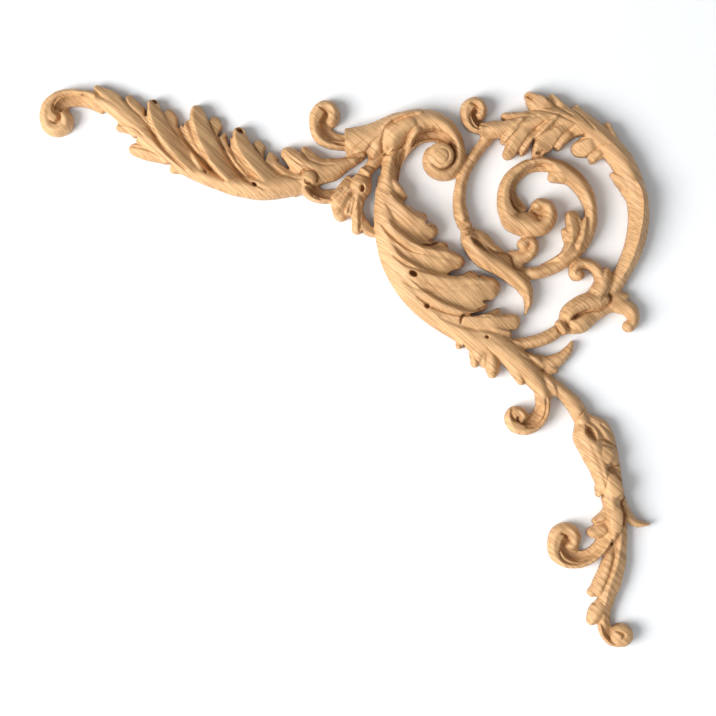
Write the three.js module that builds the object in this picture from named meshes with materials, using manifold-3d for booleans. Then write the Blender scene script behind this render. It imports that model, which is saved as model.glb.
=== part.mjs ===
// A carved corner applique: one flat-backed piece of solid oak, cut as acanthus leaves, stems,
// buds and volutes that turn round a corner. Millimetres, +Z up. The flat sawn back lies in the
// plane Y = 0 and the carving faces -Y. The origin is on the back, behind the widest leaf.
import * as THREE from 'three';
import { mergeVertices } from 'three/addons/utils/BufferGeometryUtils.js';
import Module from 'manifold-3d';

const wasm = await Module();
wasm.setup();

// Driving dimensions, in millimetres.
const SPAN = 420;        // overall width of the carving
const RELIEF = 22;       // height of its highest leaf above the back
const SAW_ALLOWANCE = 2; // wood behind the back plane before the back is sawn flat

// The carving is drawn on squared paper, 609 squares across. A station of a stroke is
// [squares right, squares down, half its width in squares, height of its crest], and crests are
// drawn on a scale on which the highest leaf stands 22 high.
const SQUARES_ACROSS = 609;
const FULL_CREST = 22;
const ORIGIN_SQUARE = [440, 295];
const SQUARE = SPAN / SQUARES_ACROSS;
const placeX = (right) => (right - ORIGIN_SQUARE[0]) * SQUARE;
const placeZ = (down) => (ORIGIN_SQUARE[1] - down) * SQUARE;
const heightOf = (crest) => (crest / FULL_CREST) * RELIEF;

// The ways a stroke is cut across. Each is a list of [place across, share of the crest], the
// place running from -1 at its low side to 1 at its high side.
const SECTIONS = {
  round: [[-1, 0.55], [-0.4, 0.93], [0.4, 0.93], [1, 0.55]],
  keel: [[-1, 0.6], [0, 1], [1, 0.6]],
  step: [[-1, 0.55], [0.55, 1], [1, 0.55]],
  scoop: [[-1, 0.4], [0.6, 1], [1, 0.6]],
  flat: [[-1, 0.92], [1, 0.92]],
};
const EDGE_SHARE = 0.55;   // height of a rounded tip, as a share of the crest there

// How low the root of a stroke starts, as a share of its crest, and the squares over which it
// rises out of what it grows from.
const ROOTS = { plain: [0.6, 12], step: [0.45, 26] };
const BEND = THREE.MathUtils.degToRad(40);   // most that one facet of a stroke turns
const COIL = THREE.MathUtils.degToRad(150);  // most that one solid of a stroke turns
const NARROW = 5.6;  // half width in squares below which a round stroke has a single ridge

const smooth = (f) => f * f * (3 - 2 * f);

// The left arm's end volute: its hollow, then its rim with the rolled end.
const leftVolute = [
  {
    stations: [
      [106, 108.5, 7, 12], [90, 101.5, 7, 10], [76, 100, 7.3, 8], [66, 102, 7.2, 6], [60, 108, 6, 5],
      [58, 116, 4, 5],
    ],
    form: 'scoop', high: -1,
  },
  {
    stations: [
      [106, 99, 3.5, 12], [86, 94.5, 3.2, 12], [70, 93.5, 3.5, 12], [58, 97.5, 4.5, 12],
      [49.5, 107, 6, 12], [48, 118, 6.8, 12], [51.5, 128.3, 6.8, 12], [60, 131, 6.5, 12.5],
      [67.5, 126, 6.8, 13], [67, 118, 6.5, 13.5], [62, 114.5, 5, 13.5],
    ],
  },
];

// The long leaf of the left arm: its rib, then its lobes from the volute on.
const leftLeaf = [
  {
    stations: [
      [96, 101, 7, 12], [112, 107, 7.5, 13], [130, 121, 9, 14], [150, 140, 10, 15], [170, 156, 9.5, 16],
      [190, 169, 8.5, 16], [215, 181, 7.5, 16], [240, 187, 10, 17], [265, 188.5, 12, 18],
      [300, 184, 11, 17], [318, 178, 8, 14],
    ],
    ends: 'none',
  },
  { stations: [[150, 140, 8, 13], [133, 130.2, 5.2, 11], [117, 128, 4, 8]] },
  { stations: [[172, 158, 8, 14], [150, 152, 9.2, 12], [129.8, 149.5, 5.5, 8]] },
  { stations: [[208, 177, 7, 15], [188, 171, 4.2, 12], [170.5, 171, 3, 8]] },
  {
    stations: [
      [162, 146, 9, 15], [138, 118, 9, 14], [117, 101, 6.5, 12.5], [95.5, 87.5, 3, 10],
    ],
    form: 'step',
  },
  {
    stations: [
      [174, 152, 9, 14], [153, 128, 8, 12], [140, 111.5, 5.8, 11], [128, 96.5, 3.3, 9],
    ],
    form: 'step',
  },
  {
    stations: [
      [214, 180, 8, 14], [190, 150, 10, 12], [176.5, 131, 8, 10], [168, 110.5, 5.5, 8],
    ],
    form: 'step',
  },
  {
    stations: [
      [217, 177, 8, 14], [200, 150, 8, 11], [193, 136, 6, 9], [188.5, 121, 4.5, 8],
    ],
    form: 'step',
  },
  {
    stations: [
      [216, 186, 4, 17], [191, 166, 7, 17], [170, 141, 9, 16.5], [158, 120, 8, 15], [153, 100.5, 5, 14],
    ],
    form: 'step',
  },
  { stations: [[243, 186, 9, 15], [224, 150, 8.5, 11], [213.5, 117.5, 6, 8]], form: 'step' },
  { stations: [[252, 187, 8, 14], [237, 162, 7, 11], [228, 138, 4, 8]], form: 'step' },
  { stations: [[216, 172, 6, 14], [200, 148, 7, 13], [187, 125, 3, 10]], form: 'step' },
  {
    stations: [
      [250, 191, 4, 17], [225, 172, 8, 18], [209, 145, 10, 17], [200.5, 124, 9, 15],
      [197, 106, 5.5, 13],
    ],
    form: 'step',
  },
  { stations: [[208, 180, 6, 16], [198, 162, 5, 15], [191, 149, 2, 11]] },
  { stations: [[295, 188, 9, 15], [271, 164, 8, 11], [256, 141.5, 4.5, 8]], form: 'step' },
  { stations: [[308, 184, 11, 15], [284, 171, 6, 12], [270.5, 154, 2.5, 8]], form: 'step' },
  { stations: [[258, 184, 7, 15], [242, 166, 6, 13], [227.5, 149, 3, 10]], form: 'step' },
  {
    stations: [
      [298, 194, 4, 17], [273, 183, 8, 17.5], [255, 163, 9, 17], [243, 146, 8.5, 15],
      [239, 128, 5.5, 14],
    ],
    form: 'step',
  },
];

// The sheath leaf that wraps the left arm's stem, and opens to the left.
const sheath = [
  {
    stations: [
      [366, 157, 2.5, 11], [350, 163, 6, 13], [330, 171, 11.5, 15], [314, 171, 14.5, 16],
      [299, 163, 12, 15], [283, 150, 6, 12],
    ],
  },
  { stations: [[332, 174, 8, 14], [315, 162.5, 6.5, 13], [303, 147.5, 3.5, 9]], form: 'step' },
];

// The small volute at the upper middle.
const upperVolute = [
  {
    stations: [
      [356, 141, 6, 13], [342, 141, 5.5, 11], [331, 137, 6, 8], [325.5, 130, 5, 6], [325, 122, 4, 5],
    ],
    form: 'scoop',
  },
  {
    stations: [
      [354, 148.5, 2.5, 13], [338, 148, 2.6, 12], [328, 145.5, 3.3, 12], [319, 139, 4.3, 12],
      [315, 128, 4.8, 12], [316.5, 116, 6.2, 12], [323, 107.8, 5.8, 12], [331, 107.5, 5.4, 12.5],
      [335, 115, 5.6, 13], [333, 122, 6, 13.5], [327, 124, 5, 13.5],
    ],
  },
];

// The leaf that turns over into the large scroll.
const upperLeaf = [
  {
    stations: [
      [346, 143, 13.5, 14], [362, 142, 14.5, 16], [378, 138, 15, 17], [396, 128, 13, 18],
      [420, 122, 11, 18],
    ],
    ends: 'none',
  },
  { stations: [[378, 142, 8, 16], [362, 151, 7.5, 15], [349.5, 157, 4.5, 13]] },
  { stations: [[386, 138, 9, 16], [378, 148, 7.5, 15], [371.5, 160, 4.5, 13]] },
  { stations: [[430, 124, 9, 18], [417, 133, 9, 17], [408, 151, 4, 13]], form: 'step', high: -1 },
  {
    stations: [
      [420, 120, 8, 19], [402, 127, 10, 19], [393, 140, 9.5, 18], [386.5, 154.5, 4, 15],
    ],
    form: 'step', high: -1,
  },
  {
    stations: [
      [380, 133, 4, 17], [392, 122.5, 4, 19.5], [406, 117, 4, 19.5], [424, 114, 3, 17],
    ],
    ends: 'both',
  },
];

// The large scroll: its inner wall, its band and its flat button.
const upperScroll = [
  {
    stations: [
      [411, 147, 4, 8], [418, 139.5, 6, 8], [428, 136, 6.5, 7], [438, 137, 6, 7], [449, 143, 5, 6],
      [455, 153, 4, 6],
    ],
    form: 'flat',
  },
  {
    stations: [
      [395, 130, 11, 18], [406, 124, 11.5, 18], [419, 122.5, 12, 18], [433, 121.8, 9.8, 17],
      [445, 127.5, 8.4, 16], [454, 137.5, 7, 15], [459, 150, 6, 14], [458.3, 164, 6.3, 14],
      [450, 173.5, 6.7, 15], [439, 174, 6.7, 16], [430.5, 167, 6.7, 17], [430.5, 156, 6.7, 17],
      [437, 151, 6, 17],
    ],
  },
];

// The bud that hangs between the left arm and the main leaf, and its little volute.
const bud = [
  { stations: [[382, 150, 8.5, 12], [376, 160, 7.5, 12], [368, 172, 5.5, 12]], ends: 'none' },
  { stations: [[360.5, 169.2, 3.6, 15], [371.5, 177, 3.6, 15]], ends: 'both' },
  {
    stations: [
      [350, 195, 7, 12], [334, 196.5, 7, 9], [322, 196, 6.5, 7], [315.5, 190, 5, 5], [313, 183, 3, 5],
    ],
    form: 'scoop',
  },
  {
    stations: [
      [340, 200.5, 2, 11], [325, 201, 3, 11], [314, 198.5, 3.4, 11], [307, 193, 4, 11],
      [304.8, 185, 4.2, 11.5], [307.5, 178.5, 4.8, 12], [313, 178.5, 4.4, 12], [314.5, 184.5, 3, 12],
    ],
  },
  {
    stations: [
      [366, 172, 7, 13], [361, 187, 11, 15], [357, 201, 8, 13], [357.5, 215, 6, 12], [361, 226, 6, 11],
    ],
    ends: 'both',
  },
  {
    stations: [
      [358, 210, 4.5, 12], [363.5, 225, 6, 12], [372, 232.5, 4.8, 12], [384, 232, 1.2, 9],
    ],
    form: 'step', high: -1,
  },
  { stations: [[358, 206, 5, 13], [357.5, 235, 5.5, 11]] },
  { stations: [[355, 180, 9, 13], [343, 201, 11, 12], [341, 222, 6.5, 10]] },
  { stations: [[357, 182, 5, 16], [346, 191, 6, 15], [332, 201, 4.5, 12]], form: 'step', high: -1 },
  { stations: [[359, 182, 4, 17], [349, 198, 5, 16], [336.5, 217, 4, 13]], form: 'step', high: -1 },
  { stations: [[361, 184, 4, 17], [354, 201, 4.5, 16.5], [348, 217.5, 4, 13]], form: 'step', high: -1 },
  { stations: [[364, 182, 5, 17], [360.5, 200, 4.5, 16.5], [356, 214, 3, 13]], form: 'step', high: -1 },
];

// The main leaf: the wall under its neck, its rib, and its right lobes downward.
const mainLeaf = [
  {
    stations: [
      [407, 147, 6.5, 9], [401.5, 157, 5, 8], [398, 168, 3.2, 8], [397.5, 184, 1.2, 8],
    ],
    form: 'flat', ends: 'none',
  },
  {
    stations: [
      [396, 140, 6.5, 14], [391, 160, 6.3, 14], [388.5, 175, 7.5, 15], [388, 195, 12.5, 16],
      [388.5, 218, 14.5, 17], [391.7, 244, 14.5, 18], [397, 263, 14.5, 18], [406.5, 281, 14.5, 18],
      [419, 298.5, 13.5, 18], [436.5, 314, 13, 17], [457.5, 326.5, 13.5, 16], [482, 341, 14, 16],
      [505, 350.5, 12.5, 16], [520, 363, 12.5, 15], [532.7, 377, 9.3, 14], [542.3, 391, 7.6, 13],
      [543.8, 405, 6.6, 12],
    ],
    ends: 'none',
  },
  {
    stations: [
      [386, 166, 4, 15], [389, 181, 7, 16], [396.5, 191, 6.8, 15], [407, 200, 3.2, 12],
    ],
    form: 'step',
  },
  { stations: [[392, 209, 5, 15], [411, 215.5, 5.5, 13], [427.5, 218, 4, 9]], form: 'step' },
  {
    stations: [
      [383, 176, 5, 16], [387, 200, 10, 18.5], [400, 216, 13, 20], [418, 229, 14, 18],
      [438.7, 232.5, 6, 13],
    ],
    form: 'step',
  },
  { stations: [[405, 240, 6, 16], [430, 248.5, 7.5, 13], [448.5, 246, 4.5, 9]], form: 'step' },
  {
    stations: [
      [380, 203, 5, 17], [386, 228, 9, 19.5], [400, 244, 11, 21], [420, 256, 12, 20],
      [443, 260.5, 12.5, 18], [465, 263, 6, 13],
    ],
    form: 'step',
  },
  { stations: [[402, 267, 4, 18], [425, 274, 5.5, 17], [451, 278.5, 3.5, 13]], form: 'step' },
  { stations: [[450, 292, 10, 16], [463, 284, 12, 13], [472, 271, 6.5, 10]], form: 'step' },
  {
    stations: [
      [382, 230, 5, 17], [392, 256, 9, 20], [410, 275, 13, 22], [437, 288, 16, 20],
      [470, 291.5, 19, 18], [500, 286, 9, 13],
    ],
    form: 'step',
  },
  { stations: [[446, 298, 10, 17], [468, 303, 9.5, 15], [487.5, 306, 4.5, 11]], form: 'step' },
  { stations: [[472, 326, 9, 15], [489, 320, 9, 13], [499, 309, 4.5, 10]], form: 'step' },
  {
    stations: [
      [389, 256, 4, 17], [402, 279, 8, 19], [424, 300, 10, 20], [452, 316, 12, 19],
      [486, 325, 13.5, 17], [520.5, 321, 7.5, 12],
    ],
    form: 'step',
  },
  { stations: [[468, 328, 9, 16], [490, 332, 8, 15], [512, 335, 4, 12]], form: 'step' },
];

// The foot of the main leaf: its small lobes, its thorn and its bottom curl.
const mainLeafFoot = [
  { stations: [[497, 352, 8, 15], [514, 347, 8.5, 13], [529, 347, 3.5, 10]], form: 'step' },
  { stations: [[513, 357, 9, 14], [530, 361, 8, 13], [546, 367, 3.5, 10]], form: 'step' },
  { stations: [[531, 373, 9, 14], [546, 384, 8, 13], [556, 396, 3.5, 10]], form: 'step' },
  { stations: [[482, 334, 10, 15], [467, 338, 10, 13], [457, 348.5, 3, 10]] },
  { stations: [[494, 340, 9, 15], [480.5, 351, 11, 13], [473.5, 367.5, 3.5, 10]] },
  { stations: [[494, 343, 9, 15], [492, 360, 8.5, 13], [494, 376.5, 6, 11]] },
  { stations: [[505, 355, 7, 14], [515, 369, 6.5, 13], [523, 385, 3.5, 11]] },
  {
    stations: [
      [524, 353, 3, 9], [541, 362, 6.5, 10], [556, 360.5, 6.8, 10], [567, 352, 4.8, 9],
      [572.4, 341, 1.5, 7],
    ],
  },
  { stations: [[540, 361, 6, 9], [550, 368, 6, 9], [558.5, 371, 3, 8]] },
  {
    stations: [
      [541, 390, 6.5, 13], [541.5, 406, 6, 11], [537.5, 416, 6.3, 8], [530, 421, 6.5, 6],
      [523, 422, 4.5, 5],
    ],
    form: 'scoop',
  },
  {
    stations: [
      [546.5, 390, 3, 12], [547.3, 408, 2.7, 12], [543, 420.5, 3, 11], [535, 428, 3.5, 11],
      [524, 430.3, 4.6, 11], [514.5, 427, 5.2, 11], [509.8, 419, 5.3, 11], [512.5, 411.8, 5, 11.5],
      [519.5, 411, 4.6, 12], [523.5, 416, 4.4, 12], [521, 422.5, 4, 12],
    ],
  },
];

// The volute where the ring's leaf begins.
const ringVolute = [
  {
    stations: [
      [494, 132, 7, 13], [482, 127.5, 5, 9], [475.5, 123, 5, 6], [473.5, 116, 3, 5],
    ],
    form: 'scoop',
  },
  {
    stations: [
      [492, 133, 2.8, 13], [478, 132, 2.6, 12], [470.5, 127.3, 4, 12], [465.8, 118.5, 4.8, 12],
      [466.8, 108.5, 5.8, 12], [472, 103.2, 4.8, 12], [478.5, 103.5, 4.8, 12.5],
      [482.5, 109.5, 4.6, 13], [481, 116, 4.8, 13], [475.5, 117.5, 3.6, 13],
    ],
  },
];

// The leaf that narrows into the large ring, with its raised fingers.
const ringLeaf = [
  {
    stations: [
      [480, 132.5, 8, 15], [500, 130, 9, 17], [525, 125, 10, 18], [550, 120, 13, 18],
      [575, 123, 13, 18], [594, 134.5, 11.2, 17], [609, 148, 11, 17], [621.5, 163, 11.2, 16],
      [630.5, 180, 10.6, 15], [636, 197, 10.2, 14], [638.3, 215, 10, 14], [636.5, 235, 9.7, 14],
      [631, 254, 9, 14], [622, 273, 8, 13], [610, 294, 7.5, 11],
    ],
    ends: 'none',
  },
  { stations: [[537, 119, 8, 16], [518, 118.5, 5.3, 14], [501, 117, 3.6, 12]] },
  { stations: [[562, 122, 12, 17], [543, 108, 10.5, 15], [525, 94.5, 4, 12]], form: 'step', high: -1 },
  { stations: [[546, 116, 8, 14], [533, 105, 6, 12], [527.5, 98, 3.5, 10]] },
  { stations: [[577, 128, 10, 16], [562, 114, 8.5, 13], [549, 95.5, 4, 10]], form: 'step', high: -1 },
  { stations: [[598, 137, 10, 15], [583, 120, 5.5, 13], [574, 106, 3, 10]], form: 'step', high: -1 },
  { stations: [[620, 159, 9, 15], [610, 141, 7.5, 13], [606, 123, 3.2, 10]], form: 'step', high: -1 },
  { stations: [[548, 123, 10, 18], [521, 140, 11, 17], [504.5, 159.5, 5, 13]], form: 'step', high: -1 },
  { stations: [[540, 131, 6, 16], [527, 145, 4.5, 14], [520, 156.5, 3, 11]] },
  {
    stations: [
      [582, 124, 9, 18], [560, 135, 11, 17], [542, 146, 9.5, 16], [534, 159.5, 3.8, 12],
    ],
    form: 'step', high: -1,
  },
  { stations: [[574, 130, 6, 16], [563, 141.5, 4.5, 14], [556.5, 151, 3, 11]] },
  { stations: [[612, 142, 10, 17], [592, 147, 11, 15], [571, 151, 7.5, 12]], form: 'step', high: -1 },
  { stations: [[608, 149, 8, 15], [598, 154, 6.5, 13], [590, 164, 3.5, 11]] },
  { stations: [[633, 195, 9, 14], [621.5, 182, 7, 12], [610, 174, 2.2, 10]] },
  { stations: [[524, 119, 5, 20], [512, 132, 4.8, 20], [501.5, 144.5, 3.3, 15]], ends: 'both' },
  { stations: [[558, 116, 5, 20], [544, 130, 4.8, 20], [532, 141.5, 3.2, 15]], ends: 'both' },
];

// The stem down the ring's left side, with its collar.
const ringStem = [
  {
    stations: [
      [489, 137, 6, 11], [481, 147.5, 5.7, 11], [472, 160, 5.7, 11], [464.8, 173, 5.8, 12],
      [460.6, 188, 5.8, 12], [459.5, 203, 6.4, 12], [461.2, 215, 7.1, 13], [464.5, 227, 6.2, 13],
    ],
    ends: 'none',
  },
  { stations: [[460.5, 230.5, 4.2, 15], [471.5, 223.5, 4.2, 15]], ends: 'both' },
];

// The bud below that collar, its long tongue and its curl.
const secondBud = [
  {
    stations: [
      [468, 233, 7, 13], [481, 240.5, 8.3, 13], [493, 250, 6, 11], [505, 257.5, 4.5, 9],
      [518, 262, 4.5, 8],
    ],
  },
  {
    stations: [
      [465, 226, 5, 13], [471.5, 243, 9.7, 17], [483, 257.5, 10.3, 17], [500, 266.5, 10, 16],
      [514, 276.5, 9.2, 15], [524.5, 288, 7.4, 14], [528.3, 301, 4.2, 12], [525, 315.5, 0.8, 9],
    ],
  },
  {
    stations: [
      [508, 255, 5, 9], [520.5, 257.5, 7, 10], [530.5, 254, 5.5, 12], [534, 246.5, 4.8, 12],
      [529.5, 240.5, 4.8, 12.5], [521, 243.5, 5.5, 12.5],
    ],
  },
  { stations: [[506, 258, 6, 9], [524, 267, 4.5, 8]] },
];

// The inner scroll: its inner wall, its band with the rolled end, and its leaf.
const innerScroll = [
  {
    stations: [
      [550, 169.5, 3, 7], [539, 168.5, 3.5, 7], [529.5, 170, 3.5, 7], [520.5, 175.5, 3.8, 7],
      [513.5, 184, 4, 7], [512, 195, 4.5, 7], [516.5, 204, 5.5, 7], [526, 210, 2.5, 7],
    ],
    form: 'flat', ends: 'none',
  },
  {
    stations: [
      [520, 275, 6, 10], [540, 272.3, 6.4, 12], [556, 266.5, 6.5, 12], [571, 256.5, 6.5, 12],
      [583, 243, 6.3, 12], [589.8, 227, 6.2, 13], [590.3, 211, 6, 14], [585.5, 195, 7.5, 15],
      [574.5, 180.5, 8.5, 15], [561, 171, 9, 15], [547, 162.7, 4.5, 14], [537, 161.8, 3.9, 14],
      [521.5, 167.5, 4.6, 14], [508, 180.5, 5.7, 14], [503.6, 197, 6.3, 14], [505.8, 212, 7.3, 14],
      [513, 222.5, 10, 15], [527, 225.5, 12.3, 15], [540, 226.5, 10.2, 16], [549, 219, 7.2, 16],
      [547.5, 208, 6.6, 16], [539, 205, 6, 16], [532, 210, 4.5, 15],
    ],
  },
  { stations: [[575, 179, 8, 15], [561, 175.5, 8.7, 15], [548, 179.5, 5, 12]] },
  { stations: [[574, 254, 5, 14], [568.5, 241, 5, 14], [563.3, 228.5, 3, 11]] },
  {
    stations: [
      [542, 266, 2, 12], [561, 258, 4.5, 15], [571, 247, 7, 17], [575, 232, 9, 17],
      [568.7, 211.3, 5.5, 13],
    ],
    form: 'step',
  },
  { stations: [[573, 257, 5, 16], [581, 238, 5.5, 17], [585, 217.5, 2.5, 14]] },
];

// The bud that holds the ring's foot: stem, collar, bulb, tongue and two curls.
const thirdBud = [
  {
    stations: [
      [510, 343.5, 5, 10], [532, 342.2, 6.3, 12], [547, 337.3, 6.6, 12], [562, 328, 6, 12],
    ],
    ends: 'none',
  },
  { stations: [[557, 320.5, 4, 15], [565.5, 335, 4, 15]], ends: 'both' },
  {
    stations: [
      [561, 329.5, 6, 12], [579, 322.5, 11, 15], [595, 313, 7.7, 12], [609, 304.5, 8.5, 11],
      [621, 305, 9, 11], [630.5, 311.5, 7.3, 12], [633, 321, 5.5, 12], [627, 327, 5.5, 12],
    ],
  },
  { stations: [[601, 305, 8, 10], [616, 299.5, 9, 11], [629.5, 295.5, 3.5, 9]] },
  {
    stations: [
      [562.5, 328.5, 5.5, 14], [570, 312.5, 9, 18], [583.5, 303.5, 9.3, 18], [596, 300.5, 9.8, 17],
      [609.5, 299, 4.5, 14],
    ],
  },
  { stations: [[588, 304, 8, 15], [600, 290, 9.5, 16], [603.5, 279, 8, 15], [607, 267.5, 4, 12]] },
  {
    stations: [
      [592, 299, 8, 15], [600.5, 284, 6.5, 15], [597.5, 272, 5.8, 14], [589.5, 265, 5.6, 13],
      [580.5, 264, 5.2, 13], [574.2, 269, 4.8, 12.5], [574.5, 275.8, 5, 12.5], [583, 276, 4.6, 12.5],
    ],
  },
];

// The lower arm: its stem, the back of its bud with a thorn, then its front leaf.
const lowerArm = [
  {
    stations: [
      [544, 376, 5, 9], [561.3, 391.3, 6.8, 10], [573.5, 404, 8, 12], [584, 423, 8, 13],
    ],
    ends: 'none',
  },
  {
    stations: [
      [584, 414, 3, 12], [601, 427, 7.4, 13], [609.5, 446, 6.7, 12], [613.5, 465, 6.1, 11],
      [617, 484, 5.2, 10], [620.5, 500, 5, 10], [626, 513, 5.4, 10], [636, 522.5, 4, 9],
      [650, 524, 1.2, 8],
    ],
  },
  {
    stations: [
      [580, 415, 6, 13], [587.5, 436, 14.8, 17], [594.5, 452, 13.6, 18], [601, 470, 10.7, 17],
      [607, 486, 10, 16], [611, 502, 8.5, 16], [613, 518, 8, 16], [612.5, 540, 5, 13],
    ],
  },
  { stations: [[586, 435, 7, 15], [600, 441, 6, 15], [610, 446, 3, 12]] },
  { stations: [[592, 448, 9, 16], [605, 456, 9, 15], [617.5, 459.5, 4.5, 12]] },
  { stations: [[601, 468, 8, 16], [613, 486, 8.5, 15], [622, 500, 4, 12]] },
  { stations: [[604, 474, 6, 14], [599.5, 486, 4.5, 13], [598.5, 497, 3, 10]] },
  { stations: [[614, 502, 7, 13], [603.5, 515.5, 5, 12], [592, 522, 3, 9]] },
  { stations: [[612, 522, 8, 13], [599, 530.5, 7, 12], [586.3, 532, 4.6, 9]] },
];

// The curl to the left of the lower arm.
const lowerCurl = [
  {
    stations: [
      [610, 508, 6, 14], [606, 532, 8, 13], [599, 547, 7, 12], [587.5, 556, 7, 11], [576, 558, 8.4, 8],
      [566, 554.5, 8, 6], [562, 547, 4.5, 5],
    ],
    form: 'scoop',
  },
  {
    stations: [
      [602, 552, 2, 11], [590, 561, 2.3, 11], [577.5, 564.8, 2.8, 11], [564, 562, 4.3, 11],
      [555, 554, 5.6, 11], [553.3, 543, 5.7, 11], [556.5, 533, 6.4, 11], [564, 527.5, 5.4, 11],
      [572, 530, 5.6, 11.5], [575, 538, 5.6, 12], [571.5, 544.5, 5, 12], [565.5, 543, 4.2, 12],
    ],
  },
];

// The tail of the lower arm and its end button.
const lowerTail = [
  {
    stations: [
      [622, 508, 4, 8], [619.2, 545, 7, 11], [615.5, 563, 9.5, 13], [609.5, 581, 11, 13],
      [605, 597, 9, 12], [602.5, 612, 7.6, 10], [604, 624, 6.4, 8], [609.5, 634, 6, 6],
      [617, 639, 5, 6],
    ],
    form: 'keel',
  },
  { stations: [[609, 572, 7, 13], [600.5, 584, 7, 12], [588, 594.5, 4.2, 9]] },
  { stations: [[606, 596, 7, 12], [596.5, 611, 8.2, 12], [588.8, 624, 4.6, 9]] },
  {
    stations: [
      [599.5, 618, 1.8, 10], [601.5, 632, 2.2, 10], [609.5, 641.5, 2.5, 11], [620, 644.2, 2.5, 11],
    ],
  },
];

const STROKES = [
  ...leftVolute, ...leftLeaf, ...sheath, ...upperVolute, ...upperLeaf, ...upperScroll, ...bud,
  ...mainLeaf, ...mainLeafFoot, ...ringVolute, ...ringLeaf, ...ringStem, ...secondBud,
  ...innerScroll, ...thirdBud, ...lowerArm, ...lowerCurl, ...lowerTail,
];

// The buttons and balls at the ends of the volutes.
const BOSSES = [
  { centre: [61, 116], radius: 10, crest: 5.5, wallShare: 0.8 },
  { centre: [326, 117], radius: 8.5, crest: 5.5, wallShare: 0.8 },
  { centre: [406, 142], radius: 6.5, crest: 7.5, wallShare: 0.8 },
  { centre: [440.5, 157.5], radius: 13.2, crest: 19, wallShare: 0.8 },
  { centre: [492.3, 373.8], radius: 4.6, crest: 12, wallShare: 0.55 },
  { centre: [517, 418], radius: 8, crest: 5.5, wallShare: 0.8 },
  { centre: [475, 114], radius: 8.5, crest: 5.5, wallShare: 0.8 },
  { centre: [523, 244.5], radius: 6, crest: 12.5, wallShare: 0.55 },
  { centre: [536.5, 214.5], radius: 9, crest: 6.5, wallShare: 0.8 },
  { centre: [628.3, 326.5], radius: 6, crest: 12, wallShare: 0.55 },
  { centre: [577.8, 275.2], radius: 5.8, crest: 12.5, wallShare: 0.55 },
  { centre: [565, 543], radius: 14, crest: 5.5, wallShare: 0.8 },
  { centre: [620.8, 634], radius: 11.6, crest: 13, wallShare: 0.55 },
];

// The eyes drilled where leaves part and where a bud opens, by their oval radii and floor height.
const EYES = [
  { centre: [156, 103], radii: [4, 3], turn: 35, floor: 8 },
  { centre: [241, 132], radii: [4.5, 3], turn: 45, floor: 8 },
  { centre: [207, 173], radii: [3.5, 1.5], turn: 55, floor: 11 },
  { centre: [256, 186], radii: [3.2, 2], turn: 45, floor: 11 },
  { centre: [363, 190], radii: [2.6, 4.2], turn: 0, floor: 9 },
  { centre: [350.5, 183], radii: [1.2, 3], turn: 10, floor: 11 },
  { centre: [576, 317], radii: [4.5, 4], turn: 0, floor: 8 },
  { centre: [582, 313.5], radii: [6, 2.2], turn: -32, floor: 9 },
  { centre: [475.5, 243], radii: [4, 3.4], turn: 45, floor: 8 },
  { centre: [480, 247], radii: [6, 1.8], turn: 38, floor: 9 },
  { centre: [588, 430], radii: [5, 4], turn: 60, floor: 7 },
  { centre: [591, 435], radii: [5, 2.6], turn: 50, floor: 8 },
  { centre: [413.5, 274.5], radii: [4.5, 3], turn: 25, floor: 11 },
  { centre: [427, 306.5], radii: [3.2, 2.4], turn: 25, floor: 11 },
  { centre: [486.5, 337], radii: [2.3, 1.7], turn: 20, floor: 10 },
];

// The point where a stroke's curve is at t, its direction there and its width and crest.
function stationAt({ curve, stations }, t) {
  const at = t * (stations.length - 1);
  const k = Math.min(Math.floor(at), stations.length - 2);
  const blend = smooth(at - k);
  const [half, crest] = [2, 3].map((i) => THREE.MathUtils.lerp(stations[k][i], stations[k + 1][i], blend));
  return { t, point: curve.getPoint(t), ahead: curve.getTangent(t), half: half * SQUARE, crest };
}

// How far a stroke may reach towards the inside of its bend before it would fold over itself.
function innerLimit(curve, t) {
  const [t0, t1] = [Math.max(0, t - 0.01), Math.min(1, t + 0.01)];
  const turn = curve.getTangent(t0).angleTo(curve.getTangent(t1));
  const travelled = curve.getPoint(t0).distanceTo(curve.getPoint(t1));
  return turn > 1e-4 ? 0.9 * travelled / turn : Infinity;
}

// The stations at which a stroke is faceted: more of them where it bends, and a few more that
// round its tip.
function facetStations(drawn) {
  const { curve, stations, ends } = drawn;
  const spans = stations.length - 1;
  const facets = [];
  for (let k = 0; k < spans; k += 1) {
    const turn = curve.getTangent(k / spans).angleTo(curve.getTangent((k + 1) / spans));
    const count = Math.max(1, Math.round(turn / BEND));
    for (let i = 0; i < count; i += 1) facets.push((k + i / count) / spans);
  }
  facets.push(1);
  const rounded = (t, share) => ({ ...stationAt(drawn, t), closing: share });
  const list = facets.map((t) => rounded(t, 1));
  if (ends === 'none') return list;
  const roundOff = (tip, inwards) => {
    const lastSpan = curve.getPoint(tip).distanceTo(curve.getPoint(tip + inwards / spans));
    const reach = Math.min(stationAt(drawn, tip).half, lastSpan * 0.9);
    const tOf = (togo) => tip + (inwards * togo) / (lastSpan * spans);
    return [[reach * 0.75, 1], [0, 0.45]].map(([togo, share]) => rounded(tOf(togo), share));
  };
  const capped = [...list.slice(0, -1).filter(({ t }) => t < 1 - 0.5 / spans), ...roundOff(1, -1)];
  return ends === 'both' ? [...roundOff(0, 1).reverse(), ...capped.filter(({ t }) => t > 0.5 / spans)] : capped;
}

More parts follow.
